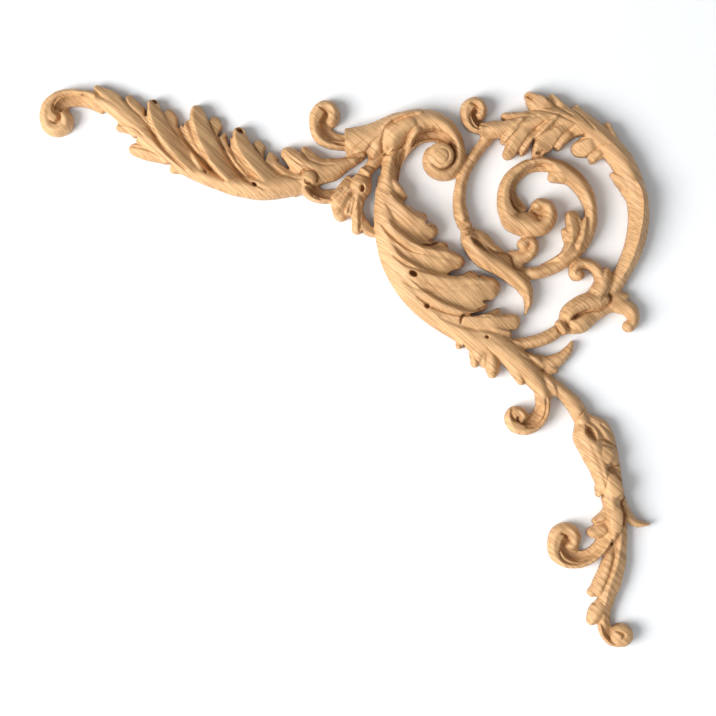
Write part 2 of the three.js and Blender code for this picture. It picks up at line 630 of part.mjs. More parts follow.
// One stroke of the drawing as closed solids that share their end faces. The carver's section
// is swept along the curve, and stands through the back plane by the saw allowance.
function stroke({ stations, form = 'round', high = 1, ends = 'tip' }) {
  const points = stations.map(([right, down]) => new THREE.Vector3(placeX(right), 0, placeZ(down)));
  const curve = new THREE.CatmullRomCurve3(points, false, 'centripetal');
  const length = curve.getLength();
  const narrow = form === 'round' && Math.max(...stations.map(([, , half]) => half)) < NARROW;
  const section = SECTIONS[narrow ? 'keel' : form];
  const [sink, rootLength] = ROOTS[form] ?? ROOTS.plain;
  const facets = facetStations({ curve, stations, ends });
  const rings = facets.map(({ t, point, ahead, half, crest, closing }) => {
    const before = curve.getTangent(Math.max(0, t - 0.02));
    const after = curve.getTangent(Math.min(1, t + 0.02));
    const bendsTo = Math.sign(before.z * after.x - before.x * after.z);
    const limit = innerLimit(curve, t);
    const out = ends === 'tip' ? smooth(Math.min(1, (t * length) / (rootLength * SQUARE))) : 1;
    const top = heightOf(crest) * (sink + (1 - sink) * out) * (0.7 + 0.3 * closing);
    return section.map(([place, share]) => {
      const side = place * high;
      const reach = Math.min(half * closing, side * bendsTo > 0 ? limit : Infinity) * side;
      const height = top * (EDGE_SHARE + (share - EDGE_SHARE) * closing);
      return { x: point.x - ahead.z * reach, z: point.z + ahead.x * reach, height };
    });
  });
  // A volute closes on itself, so it is cut as several solids, each less than one turn.
  const solids = [];
  let first = 0;
  let turned = 0;
  for (let last = 1; last < rings.length; last += 1) {
    turned += facets[last].ahead.angleTo(facets[last - 1].ahead);
    if (turned > COIL || last === rings.length - 1) {
      solids.push(sweptSolid(rings.slice(first, last + 1), high));
      first = last;
      turned = 0;
    }
  }
  return solids;
}

// A box whose rows of vertices are moved onto the rings of a run.
function sweptSolid(rings, high) {
  const across = rings[0].length - 1;
  const along = rings.length - 1;
  const box = new THREE.BoxGeometry(1, 1, 1, across, 1, along);
  const position = box.getAttribute('position');
  for (let i = 0; i < position.count; i += 1) {
    const column = Math.round((0.5 + high * position.getX(i)) * across);
    const row = Math.round((0.5 + position.getZ(i)) * along);
    const { x, z, height } = rings[row][column];
    position.setXYZ(i, x, position.getY(i) > 0 ? -height : SAW_ALLOWANCE, z);
  }
  return toManifold(box);
}

// A boss, such as the button of a scroll: a low dome on a round wall.
function boss({ centre: [right, down], radius, crest, wallShare, sides = 10 }) {
  const top = heightOf(crest);
  const wall = top * wallShare;
  const dome = [0, 0.5, 1].map((share) => new THREE.Vector2(
    radius * SQUARE * Math.cos(share * Math.PI / 2), wall + (top - wall) * Math.sin(share * Math.PI / 2)));
  const profile = [new THREE.Vector2(0, -SAW_ALLOWANCE), new THREE.Vector2(radius * SQUARE, -SAW_ALLOWANCE), ...dome];
  profile[profile.length - 1].x = 0;
  const lathe = new THREE.LatheGeometry(profile, sides);
  lathe.rotateX(Math.PI);
  return toManifold(lathe.translate(placeX(right), 0, placeZ(down)));
}

// A drilled eye: a tapered oval hole down to its floor.
function eye({ centre: [right, down], radii, turn, floor }) {
  const mouth = RELIEF * 1.2;
  const depth = mouth - heightOf(floor);
  const drill = new THREE.CylinderGeometry(0.6, 1.5, depth, 6);
  drill.scale(radii[0] * SQUARE, 1, radii[1] * SQUARE);
  drill.rotateY(THREE.MathUtils.degToRad(turn));
  return toManifold(drill.translate(placeX(right), -mouth + depth / 2, placeZ(down)));
}

function toManifold(geometry) {
  geometry.deleteAttribute('normal');
  geometry.deleteAttribute('uv');
  const merged = mergeVertices(geometry, 1e-5);
  return new wasm.Manifold(new wasm.Mesh({
    numProp: 3,
    vertProperties: new Float32Array(merged.getAttribute('position').array),
    triVerts: new Uint32Array(merged.index.array),
  }));
}

// The piece itself: all strokes and bosses joined, the eyes drilled and the back sawn flat.
function carvedSolid() {
  const forms = [...STROKES.flatMap(stroke), ...BOSSES.map(boss)];
  const joined = forms.reduce((whole, form) => whole.add(form));
  const drilled = EYES.map(eye).reduce((whole, hole) => whole.subtract(hole), joined);
  const offcut = new THREE.BoxGeometry(2 * SPAN, 4 * SAW_ALLOWANCE, 2 * SPAN);
  return drilled.subtract(toManifold(offcut.translate(0, 2 * SAW_ALLOWANCE, 0)));
}

function toGeometry(solid) {
  const { vertProperties, triVerts } = solid.getMesh();
  const geometry = new THREE.BufferGeometry();
  geometry.setAttribute('position', new THREE.BufferAttribute(vertProperties, 3));
  geometry.setIndex(new THREE.BufferAttribute(triVerts, 1));
  geometry.computeVertexNormals();
  return geometry;
}

const oak = new THREE.MeshStandardMaterial({ color: 0xd6a876, roughness: 0.62, metalness: 0 });
const applique = new THREE.Mesh(toGeometry(carvedSolid()), oak);
applique.name = 'corner_applique';

const group = new THREE.Group();
group.add(applique);

export default group;
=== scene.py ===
"""A carved corner applique: one flat-backed piece of solid oak, cut as acanthus leaves, stems,
buds and volutes that turn round a corner, on a pale wall.

Metres; +X right, +Z up, -Y out of the wall. The drawing comes first, then the tools that carve
it, the materials, and the operators that put the pieces in the scene."""

import math

import bmesh
import bpy
import numpy as np
from bmesh.types import BMEdge, BMFace, BMVert
from bpy.props import FloatProperty, FloatVectorProperty, IntProperty, PointerProperty
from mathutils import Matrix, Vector


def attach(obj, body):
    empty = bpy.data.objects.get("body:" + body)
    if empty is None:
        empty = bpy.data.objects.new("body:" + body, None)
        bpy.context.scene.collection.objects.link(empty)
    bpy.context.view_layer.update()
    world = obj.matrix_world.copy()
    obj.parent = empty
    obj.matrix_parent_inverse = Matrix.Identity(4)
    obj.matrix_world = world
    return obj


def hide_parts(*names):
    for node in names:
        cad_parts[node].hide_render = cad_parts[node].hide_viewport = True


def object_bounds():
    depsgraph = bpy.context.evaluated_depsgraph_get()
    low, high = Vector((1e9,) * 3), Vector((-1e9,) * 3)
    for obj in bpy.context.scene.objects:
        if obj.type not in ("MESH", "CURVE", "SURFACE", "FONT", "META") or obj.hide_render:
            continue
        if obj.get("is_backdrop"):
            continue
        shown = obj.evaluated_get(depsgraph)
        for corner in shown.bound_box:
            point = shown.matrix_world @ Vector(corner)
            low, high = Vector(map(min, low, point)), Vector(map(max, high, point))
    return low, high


bl_info = {
    "name": "Carved Corner Applique",
    "version": (1, 0, 0),
    "blender": (4, 5, 0),
    "location": "View3D > Sidebar > Applique",
    "description": "Carves an oak corner applique over its frame and lights it on a pale wall",
    "category": "Add Mesh",
}

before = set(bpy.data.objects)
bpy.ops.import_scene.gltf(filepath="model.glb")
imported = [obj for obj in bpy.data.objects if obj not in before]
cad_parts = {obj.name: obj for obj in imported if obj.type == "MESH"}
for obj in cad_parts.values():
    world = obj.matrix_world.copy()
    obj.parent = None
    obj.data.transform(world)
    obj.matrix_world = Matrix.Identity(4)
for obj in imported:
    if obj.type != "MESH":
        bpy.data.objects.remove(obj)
CAD_LOW, CAD_HIGH = (Vector(corner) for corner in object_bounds())
NODE = "corner_applique"

# The carving is drawn on squared paper. A station of a stroke is (squares right, squares down,
# half its width in squares, height of its crest), with crests on a scale whose highest leaf is 22.
SPAN = 0.42
SQUARES_ACROSS = 609
SQUARE = SPAN / SQUARES_ACROSS
ORIGIN_SQUARE = (440, 295)
PICTURE_SQUARES = 716   # squares across the picture that the camera takes
FULL_CREST = 22
RELIEF = -CAD_LOW.y
SAW_ALLOWANCE = 0.002   # wood behind the plane of the back, which the saw takes off

# The ways a stroke is cut across: the height of its low side, how that side bows, the same for its
# high side, and the place of the crest between -1 and 1.
SECTIONS = {
    "round": (0.55, 1.0, 0.55, 1.0, 0.0),
    "keel": (0.6, 0.0, 0.6, 0.0, 0.0),
    "step": (0.68, 0.25, 0.55, 0.8, 0.55),
    "scoop": (0.38, -0.7, 0.6, 1.0, 0.6),
    "flat": (0.92, 1.0, 0.92, 1.0, 0.0),
}
# How low the root of a stroke starts, as a share of its crest, and the squares over which it rises.
ROOTS = {"step": (0.45, 26)}
PLAIN_ROOT = (0.6, 12)
# Which ends of a stroke are rounded off: the last one, neither or both.
TIP, NONE, BOTH = "tip", "none", "both"


def stroke(*stations, form="round", high=1, ends=TIP):
    """One stroke of the drawing, with its section, the side of its crest and its rounded ends."""
    return {"stations": np.array(stations, float), "form": form, "high": high, "ends": ends}


def lobe(*stations, **manner):
    """A lobe of a leaf: it rises from under its neighbour and steps down to the next."""
    return stroke(*stations, form="step", **manner)


def band(*stations):
    """The level face along the rim of a volute."""
    return stroke(*stations, form="flat", ends=BOTH)


# The left arm's end volute: its hollow, then its rim with the rolled end.
LEFT_VOLUTE = [
    stroke((106, 108.5, 7, 12), (90, 101.5, 7, 10), (76, 100, 7.3, 8), (66, 102, 7.2, 6),
           (60, 108, 6, 5), (58, 116, 4, 5), form="scoop", high=-1),
    stroke((106, 99, 3.5, 12), (86, 94.5, 3.2, 12), (70, 93.5, 3.5, 12), (58, 97.5, 4.5, 12),
           (49.5, 107, 6, 12), (48, 118, 6.8, 12), (51.5, 128.3, 6.8, 12), (60, 131, 6.5, 12.5),
           (67.5, 126, 6.8, 13), (67, 118, 6.5, 13.5), (62, 114.5, 5, 13.5)),
]

# The long leaf of the left arm: its rib, then its lobes from the volute on.
LEFT_LEAF = [
    stroke((96, 101, 7, 12), (112, 107, 7.5, 13), (130, 121, 9, 14), (150, 140, 10, 15),
           (170, 156, 9.5, 16), (190, 169, 8.5, 16), (215, 181, 7.5, 16), (240, 187, 10, 17),
           (265, 188.5, 12, 18), (300, 184, 11, 17), (318, 178, 8, 14), ends=NONE),
    stroke((150, 140, 8, 13), (133, 130.2, 5.2, 11), (117, 128, 4, 8)),
    stroke((172, 158, 8, 14), (150, 152, 9.2, 12), (129.8, 149.5, 5.5, 8)),
    stroke((208, 177, 7, 15), (188, 171, 4.2, 12), (170.5, 171, 3, 8)),
    lobe((162, 146, 9, 15), (138, 118, 9, 14), (117, 101, 6.5, 12.5), (95.5, 87.5, 3, 10)),
    lobe((174, 152, 9, 14), (153, 128, 8, 12), (140, 111.5, 5.8, 11), (128, 96.5, 3.3, 9)),
    lobe((214, 180, 8, 14), (190, 150, 10, 12), (176.5, 131, 8, 10), (168, 110.5, 5.5, 8)),
    lobe((217, 177, 8, 14), (200, 150, 8, 11), (193, 136, 6, 9), (188.5, 121, 4.5, 8)),
    lobe((216, 186, 4, 17), (191, 166, 7, 17), (170, 141, 9, 16.5), (158, 120, 8, 15),
         (153, 100.5, 5, 14)),
    lobe((243, 186, 9, 15), (224, 150, 8.5, 11), (213.5, 117.5, 6, 8)),
    lobe((252, 187, 8, 14), (237, 162, 7, 11), (228, 138, 4, 8)),
    lobe((216, 172, 6, 14), (200, 148, 7, 13), (187, 125, 3, 10)),
    lobe((250, 191, 4, 17), (225, 172, 8, 18), (209, 145, 10, 17), (200.5, 124, 9, 15),
         (197, 106, 5.5, 13)),
    stroke((208, 180, 6, 16), (198, 162, 5, 15), (191, 149, 2, 11)),
    lobe((295, 188, 9, 15), (271, 164, 8, 11), (256, 141.5, 4.5, 8)),
    lobe((308, 184, 11, 15), (284, 171, 6, 12), (270.5, 154, 2.5, 8)),
    lobe((258, 184, 7, 15), (242, 166, 6, 13), (227.5, 149, 3, 10)),
    lobe((298, 194, 4, 17), (273, 183, 8, 17.5), (255, 163, 9, 17), (243, 146, 8.5, 15),
         (239, 128, 5.5, 14)),
]

# The sheath leaf that wraps the left arm's stem, and opens to the left.
SHEATH = [
    stroke((366, 157, 2.5, 11), (350, 163, 6, 13), (330, 171, 11.5, 15), (314, 171, 14.5, 16),
           (299, 163, 12, 15), (283, 150, 6, 12)),
    lobe((332, 174, 8, 14), (315, 162.5, 6.5, 13), (303, 147.5, 3.5, 9)),
]

# The small volute at the upper middle.
UPPER_VOLUTE = [
    stroke((356, 141, 6, 13), (342, 141, 5.5, 11), (331, 137, 6, 8), (325.5, 130, 5, 6),
           (325, 122, 4, 5), form="scoop"),
    stroke((354, 148.5, 2.5, 13), (338, 148, 2.6, 12), (328, 145.5, 3.3, 12), (319, 139, 4.3, 12),
           (315, 128, 4.8, 12), (316.5, 116, 6.2, 12), (323, 107.8, 5.8, 12),
           (331, 107.5, 5.4, 12.5), (335, 115, 5.6, 13), (333, 122, 6, 13.5), (327, 124, 5, 13.5)),
]

# The leaf that turns over into the large scroll.
UPPER_LEAF = [
    stroke((346, 143, 13.5, 14), (362, 142, 14.5, 16), (378, 138, 15, 17), (396, 128, 13, 18),
           (420, 122, 11, 18), ends=NONE),
    stroke((378, 142, 8, 16), (362, 151, 7.5, 15), (349.5, 157, 4.5, 13)),
    stroke((386, 138, 9, 16), (378, 148, 7.5, 15), (371.5, 160, 4.5, 13)),
    lobe((430, 124, 9, 18), (417, 133, 9, 17), (408, 151, 4, 13), high=-1),
    lobe((420, 120, 8, 19), (402, 127, 10, 19), (393, 140, 9.5, 18), (386.5, 154.5, 4, 15),
         high=-1),
    stroke((380, 133, 4, 17), (392, 122.5, 4, 19.5), (406, 117, 4, 19.5), (424, 114, 3, 17),
           ends=BOTH),
]

# The large scroll: its inner wall, its band and its flat button.
UPPER_SCROLL = [
    stroke((411, 147, 4, 8), (418, 139.5, 6, 8), (428, 136, 6.5, 7), (438, 137, 6, 7),
           (449, 143, 5, 6), (455, 153, 4, 6), form="flat"),
    stroke((395, 130, 11, 18), (406, 124, 11.5, 18), (419, 122.5, 12, 18), (433, 121.8, 9.8, 17),
           (445, 127.5, 8.4, 16), (454, 137.5, 7, 15), (459, 150, 6, 14), (458.3, 164, 6.3, 14),
           (450, 173.5, 6.7, 15), (439, 174, 6.7, 16), (430.5, 167, 6.7, 17),
           (430.5, 156, 6.7, 17), (437, 151, 6, 17)),
]

# The bud that hangs between the left arm and the main leaf, and its little volute.
BUD = [
    stroke((382, 150, 8.5, 12), (376, 160, 7.5, 12), (368, 172, 5.5, 12), ends=NONE),
    stroke((360.5, 169.2, 3.6, 15), (371.5, 177, 3.6, 15), ends=BOTH),
    stroke((350, 195, 7, 12), (334, 196.5, 7, 9), (322, 196, 6.5, 7), (315.5, 190, 5, 5),
           (313, 183, 3, 5), form="scoop"),
    stroke((340, 200.5, 2, 11), (325, 201, 3, 11), (314, 198.5, 3.4, 11), (307, 193, 4, 11),
           (304.8, 185, 4.2, 11.5), (307.5, 178.5, 4.8, 12), (313, 178.5, 4.4, 12),
           (314.5, 184.5, 3, 12)),
    stroke((366, 172, 7, 13), (361, 187, 11, 15), (357, 201, 8, 13), (357.5, 215, 6, 12),
           (361, 226, 6, 11), ends=BOTH),
    lobe((358, 210, 4.5, 12), (363.5, 225, 6, 12), (372, 232.5, 4.8, 12), (384, 232, 1.2, 9),
         high=-1),
    stroke((358, 206, 5, 13), (357.5, 235, 5.5, 11)),
    stroke((355, 180, 9, 13), (343, 201, 11, 12), (341, 222, 6.5, 10)),
    lobe((357, 182, 5, 16), (346, 191, 6, 15), (332, 201, 4.5, 12), high=-1),
    lobe((359, 182, 4, 17), (349, 198, 5, 16), (336.5, 217, 4, 13), high=-1),
    lobe((361, 184, 4, 17), (354, 201, 4.5, 16.5), (348, 217.5, 4, 13), high=-1),
    lobe((364, 182, 5, 17), (360.5, 200, 4.5, 16.5), (356, 214, 3, 13), high=-1),
]

# The main leaf: the wall under its neck, its rib, and its right lobes downward.
MAIN_LEAF = [
    stroke((407, 147, 6.5, 9), (401.5, 157, 5, 8), (398, 168, 3.2, 8), (397.5, 184, 1.2, 8),
           form="flat", ends=NONE),
    stroke((396, 140, 6.5, 14), (391, 160, 6.3, 14), (388.5, 175, 7.5, 15), (388, 195, 12.5, 16),
           (388.5, 218, 14.5, 17), (391.7, 244, 14.5, 18), (397, 263, 14.5, 18),
           (406.5, 281, 14.5, 18), (419, 298.5, 13.5, 18), (436.5, 314, 13, 17),
           (457.5, 326.5, 13.5, 16), (482, 341, 14, 16), (505, 350.5, 12.5, 16),
           (520, 363, 12.5, 15), (532.7, 377, 9.3, 14), (542.3, 391, 7.6, 13),
           (543.8, 405, 6.6, 12), ends=NONE),
    lobe((386, 166, 4, 15), (389, 181, 7, 16), (396.5, 191, 6.8, 15), (407, 200, 3.2, 12)),
    lobe((392, 209, 5, 15), (411, 215.5, 5.5, 13), (427.5, 218, 4, 9)),
    lobe((383, 176, 5, 16), (387, 200, 10, 18.5), (400, 216, 13, 20), (418, 229, 14, 18),
         (438.7, 232.5, 6, 13)),
    lobe((405, 240, 6, 16), (430, 248.5, 7.5, 13), (448.5, 246, 4.5, 9)),
    lobe((380, 203, 5, 17), (386, 228, 9, 19.5), (400, 244, 11, 21), (420, 256, 12, 20),
         (443, 260.5, 12.5, 18), (465, 263, 6, 13)),
    lobe((402, 267, 4, 18), (425, 274, 5.5, 17), (451, 278.5, 3.5, 13)),
    lobe((450, 292, 10, 16), (463, 284, 12, 13), (472, 271, 6.5, 10)),
    lobe((382, 230, 5, 17), (392, 256, 9, 20), (410, 275, 13, 22), (437, 288, 16, 20),
         (470, 291.5, 19, 18), (500, 286, 9, 13)),
    lobe((446, 298, 10, 17), (468, 303, 9.5, 15), (487.5, 306, 4.5, 11)),
    lobe((472, 326, 9, 15), (489, 320, 9, 13), (499, 309, 4.5, 10)),
    lobe((389, 256, 4, 17), (402, 279, 8, 19), (424, 300, 10, 20), (452, 316, 12, 19),
         (486, 325, 13.5, 17), (520.5, 321, 7.5, 12)),
    lobe((468, 328, 9, 16), (490, 332, 8, 15), (512, 335, 4, 12)),
]

# The foot of the main leaf: its small lobes, its thorn and its bottom curl.
MAIN_LEAF_FOOT = [
    lobe((497, 352, 8, 15), (514, 347, 8.5, 13), (529, 347, 3.5, 10)),
    lobe((513, 357, 9, 14), (530, 361, 8, 13), (546, 367, 3.5, 10)),
    lobe((531, 373, 9, 14), (546, 384, 8, 13), (556, 396, 3.5, 10)),
    stroke((482, 334, 10, 15), (467, 338, 10, 13), (457, 348.5, 3, 10)),
    stroke((494, 340, 9, 15), (480.5, 351, 11, 13), (473.5, 367.5, 3.5, 10)),
    stroke((494, 343, 9, 15), (492, 360, 8.5, 13), (494, 376.5, 6, 11)),
    stroke((505, 355, 7, 14), (515, 369, 6.5, 13), (523, 385, 3.5, 11)),
    stroke((524, 353, 3, 9), (541, 362, 6.5, 10), (556, 360.5, 6.8, 10), (567, 352, 4.8, 9),
           (572.4, 341, 1.5, 7)),
    stroke((540, 361, 6, 9), (550, 368, 6, 9), (558.5, 371, 3, 8)),
    stroke((541, 390, 6.5, 13), (541.5, 406, 6, 11), (537.5, 416, 6.3, 8), (530, 421, 6.5, 6),
           (523, 422, 4.5, 5), form="scoop"),
    stroke((546.5, 390, 3, 12), (547.3, 408, 2.7, 12), (543, 420.5, 3, 11), (535, 428, 3.5, 11),
           (524, 430.3, 4.6, 11), (514.5, 427, 5.2, 11), (509.8, 419, 5.3, 11),
           (512.5, 411.8, 5, 11.5), (519.5, 411, 4.6, 12), (523.5, 416, 4.4, 12),
           (521, 422.5, 4, 12)),
]

# The volute where the ring's leaf begins.
RING_VOLUTE = [
    stroke((494, 132, 7, 13), (482, 127.5, 5, 9), (475.5, 123, 5, 6), (473.5, 116, 3, 5),
           form="scoop"),
    stroke((492, 133, 2.8, 13), (478, 132, 2.6, 12), (470.5, 127.3, 4, 12),
           (465.8, 118.5, 4.8, 12), (466.8, 108.5, 5.8, 12), (472, 103.2, 4.8, 12),
           (478.5, 103.5, 4.8, 12.5), (482.5, 109.5, 4.6, 13), (481, 116, 4.8, 13),
           (475.5, 117.5, 3.6, 13)),
]

# The leaf that narrows into the large ring, with its raised fingers.
RING_LEAF = [
    stroke((480, 132.5, 8, 15), (500, 130, 9, 17), (525, 125, 10, 18), (550, 120, 13, 18),
           (575, 123, 13, 18), (594, 134.5, 11.2, 17), (609, 148, 11, 17), (621.5, 163, 11.2, 16),
           (630.5, 180, 10.6, 15), (636, 197, 10.2, 14), (638.3, 215, 10, 14),
           (636.5, 235, 9.7, 14), (631, 254, 9, 14), (622, 273, 8, 13), (610, 294, 7.5, 11),
           ends=NONE),
    stroke((537, 119, 8, 16), (518, 118.5, 5.3, 14), (501, 117, 3.6, 12)),
    lobe((562, 122, 12, 17), (543, 108, 10.5, 15), (525, 94.5, 4, 12), high=-1),
    stroke((546, 116, 8, 14), (533, 105, 6, 12), (527.5, 98, 3.5, 10)),
    lobe((577, 128, 10, 16), (562, 114, 8.5, 13), (549, 95.5, 4, 10), high=-1),
    lobe((598, 137, 10, 15), (583, 120, 5.5, 13), (574, 106, 3, 10), high=-1),
    lobe((620, 159, 9, 15), (610, 141, 7.5, 13), (606, 123, 3.2, 10), high=-1),
    lobe((548, 123, 10, 18), (521, 140, 11, 17), (504.5, 159.5, 5, 13), high=-1),
    stroke((540, 131, 6, 16), (527, 145, 4.5, 14), (520, 156.5, 3, 11)),
    lobe((582, 124, 9, 18), (560, 135, 11, 17), (542, 146, 9.5, 16), (534, 159.5, 3.8, 12),
         high=-1),
    stroke((574, 130, 6, 16), (563, 141.5, 4.5, 14), (556.5, 151, 3, 11)),
    lobe((612, 142, 10, 17), (592, 147, 11, 15), (571, 151, 7.5, 12), high=-1),
    stroke((608, 149, 8, 15), (598, 154, 6.5, 13), (590, 164, 3.5, 11)),
    stroke((633, 195, 9, 14), (621.5, 182, 7, 12), (610, 174, 2.2, 10)),
    stroke((524, 119, 5, 20), (512, 132, 4.8, 20), (501.5, 144.5, 3.3, 15), ends=BOTH),
    stroke((558, 116, 5, 20), (544, 130, 4.8, 20), (532, 141.5, 3.2, 15), ends=BOTH),
]

# The stem down the ring's left side, with its collar.
RING_STEM = [
    stroke((489, 137, 6, 11), (481, 147.5, 5.7, 11), (472, 160, 5.7, 11), (464.8, 173, 5.8, 12),
           (460.6, 188, 5.8, 12), (459.5, 203, 6.4, 12), (461.2, 215, 7.1, 13),
           (464.5, 227, 6.2, 13), ends=NONE),
    stroke((460.5, 230.5, 4.2, 15), (471.5, 223.5, 4.2, 15), ends=BOTH),
]

# The bud below that collar, its long tongue and its curl.
SECOND_BUD = [
    stroke((468, 233, 7, 13), (481, 240.5, 8.3, 13), (493, 250, 6, 11), (505, 257.5, 4.5, 9),
           (518, 262, 4.5, 8)),
    stroke((465, 226, 5, 13), (471.5, 243, 9.7, 17), (483, 257.5, 10.3, 17), (500, 266.5, 10, 16),
           (514, 276.5, 9.2, 15), (524.5, 288, 7.4, 14), (528.3, 301, 4.2, 12),
           (525, 315.5, 0.8, 9)),
    stroke((508, 255, 5, 9), (520.5, 257.5, 7, 10), (530.5, 254, 5.5, 12), (534, 246.5, 4.8, 12),
           (529.5, 240.5, 4.8, 12.5), (521, 243.5, 5.5, 12.5)),
    stroke((506, 258, 6, 9), (524, 267, 4.5, 8)),
]

# The inner scroll: its inner wall, its band with the rolled end, and its leaf.
INNER_SCROLL = [
    stroke((550, 169.5, 3, 7), (539, 168.5, 3.5, 7), (529.5, 170, 3.5, 7), (520.5, 175.5, 3.8, 7),
           (513.5, 184, 4, 7), (512, 195, 4.5, 7), (516.5, 204, 5.5, 7), (526, 210, 2.5, 7),
           form="flat", ends=NONE),
    stroke((520, 275, 6, 10), (540, 272.3, 6.4, 12), (556, 266.5, 6.5, 12), (571, 256.5, 6.5, 12),
           (583, 243, 6.3, 12), (589.8, 227, 6.2, 13), (590.3, 211, 6, 14), (585.5, 195, 7.5, 15),
           (574.5, 180.5, 8.5, 15), (561, 171, 9, 15), (547, 162.7, 4.5, 14),
           (537, 161.8, 3.9, 14), (521.5, 167.5, 4.6, 14), (508, 180.5, 5.7, 14),
           (503.6, 197, 6.3, 14), (505.8, 212, 7.3, 14), (513, 222.5, 10, 15),
           (527, 225.5, 12.3, 15), (540, 226.5, 10.2, 16), (549, 219, 7.2, 16),
           (547.5, 208, 6.6, 16), (539, 205, 6, 16), (532, 210, 4.5, 15)),
    stroke((575, 179, 8, 15), (561, 175.5, 8.7, 15), (548, 179.5, 5, 12)),
    stroke((574, 254, 5, 14), (568.5, 241, 5, 14), (563.3, 228.5, 3, 11)),
    lobe((542, 266, 2, 12), (561, 258, 4.5, 15), (571, 247, 7, 17), (575, 232, 9, 17),
         (568.7, 211.3, 5.5, 13)),
    stroke((573, 257, 5, 16), (581, 238, 5.5, 17), (585, 217.5, 2.5, 14)),
]

# The bud that holds the ring's foot: stem, collar, bulb, tongue and two curls.
THIRD_BUD = [
    stroke((510, 343.5, 5, 10), (532, 342.2, 6.3, 12), (547, 337.3, 6.6, 12), (562, 328, 6, 12),
           ends=NONE),
    stroke((557, 320.5, 4, 15), (565.5, 335, 4, 15), ends=BOTH),
    stroke((561, 329.5, 6, 12), (579, 322.5, 11, 15), (595, 313, 7.7, 12), (609, 304.5, 8.5, 11),
           (621, 305, 9, 11), (630.5, 311.5, 7.3, 12), (633, 321, 5.5, 12), (627, 327, 5.5, 12)),
    stroke((601, 305, 8, 10), (616, 299.5, 9, 11), (629.5, 295.5, 3.5, 9)),
    stroke((562.5, 328.5, 5.5, 14), (570, 312.5, 9, 18), (583.5, 303.5, 9.3, 18),
           (596, 300.5, 9.8, 17), (609.5, 299, 4.5, 14)),
    stroke((588, 304, 8, 15), (600, 290, 9.5, 16), (603.5, 279, 8, 15), (607, 267.5, 4, 12)),
    stroke((592, 299, 8, 15), (600.5, 284, 6.5, 15), (597.5, 272, 5.8, 14), (589.5, 265, 5.6, 13),
           (580.5, 264, 5.2, 13), (574.2, 269, 4.8, 12.5), (574.5, 275.8, 5, 12.5),
           (583, 276, 4.6, 12.5)),
]

# The lower arm: its stem, the back of its bud with a thorn, then its front leaf.
LOWER_ARM = [
    stroke((544, 376, 5, 9), (561.3, 391.3, 6.8, 10), (573.5, 404, 8, 12), (584, 423, 8, 13),
           ends=NONE),
    stroke((584, 414, 3, 12), (601, 427, 7.4, 13), (609.5, 446, 6.7, 12), (613.5, 465, 6.1, 11),
           (617, 484, 5.2, 10), (620.5, 500, 5, 10), (626, 513, 5.4, 10), (636, 522.5, 4, 9),
           (650, 524, 1.2, 8)),
    stroke((580, 415, 6, 13), (587.5, 436, 14.8, 17), (594.5, 452, 13.6, 18), (601, 470, 10.7, 17),
           (607, 486, 10, 16), (611, 502, 8.5, 16), (613, 518, 8, 16), (612.5, 540, 5, 13)),
    stroke((586, 435, 7, 15), (600, 441, 6, 15), (610, 446, 3, 12)),
    stroke((592, 448, 9, 16), (605, 456, 9, 15), (617.5, 459.5, 4.5, 12)),
    stroke((601, 468, 8, 16), (613, 486, 8.5, 15), (622, 500, 4, 12)),
    stroke((604, 474, 6, 14), (599.5, 486, 4.5, 13), (598.5, 497, 3, 10)),
    stroke((614, 502, 7, 13), (603.5, 515.5, 5, 12), (592, 522, 3, 9)),
    stroke((612, 522, 8, 13), (599, 530.5, 7, 12), (586.3, 532, 4.6, 9)),
]

# The curl to the left of the lower arm.
LOWER_CURL = [
    stroke((610, 508, 6, 14), (606, 532, 8, 13), (599, 547, 7, 12), (587.5, 556, 7, 11),
           (576, 558, 8.4, 8), (566, 554.5, 8, 6), (562, 547, 4.5, 5), form="scoop"),
    stroke((602, 552, 2, 11), (590, 561, 2.3, 11), (577.5, 564.8, 2.8, 11), (564, 562, 4.3, 11),
           (555, 554, 5.6, 11), (553.3, 543, 5.7, 11), (556.5, 533, 6.4, 11),
           (564, 527.5, 5.4, 11), (572, 530, 5.6, 11.5), (575, 538, 5.6, 12),
           (571.5, 544.5, 5, 12), (565.5, 543, 4.2, 12)),
]

# The tail of the lower arm and its end button.
LOWER_TAIL = [
    stroke((622, 508, 4, 8), (619.2, 545, 7, 11), (615.5, 563, 9.5, 13), (609.5, 581, 11, 13),
           (605, 597, 9, 12), (602.5, 612, 7.6, 10), (604, 624, 6.4, 8), (609.5, 634, 6, 6),
           (617, 639, 5, 6), form="keel"),
    stroke((609, 572, 7, 13), (600.5, 584, 7, 12), (588, 594.5, 4.2, 9)),
    stroke((606, 596, 7, 12), (596.5, 611, 8.2, 12), (588.8, 624, 4.6, 9)),
    stroke((599.5, 618, 1.8, 10), (601.5, 632, 2.2, 10), (609.5, 641.5, 2.5, 11),
           (620, 644.2, 2.5, 11)),
]

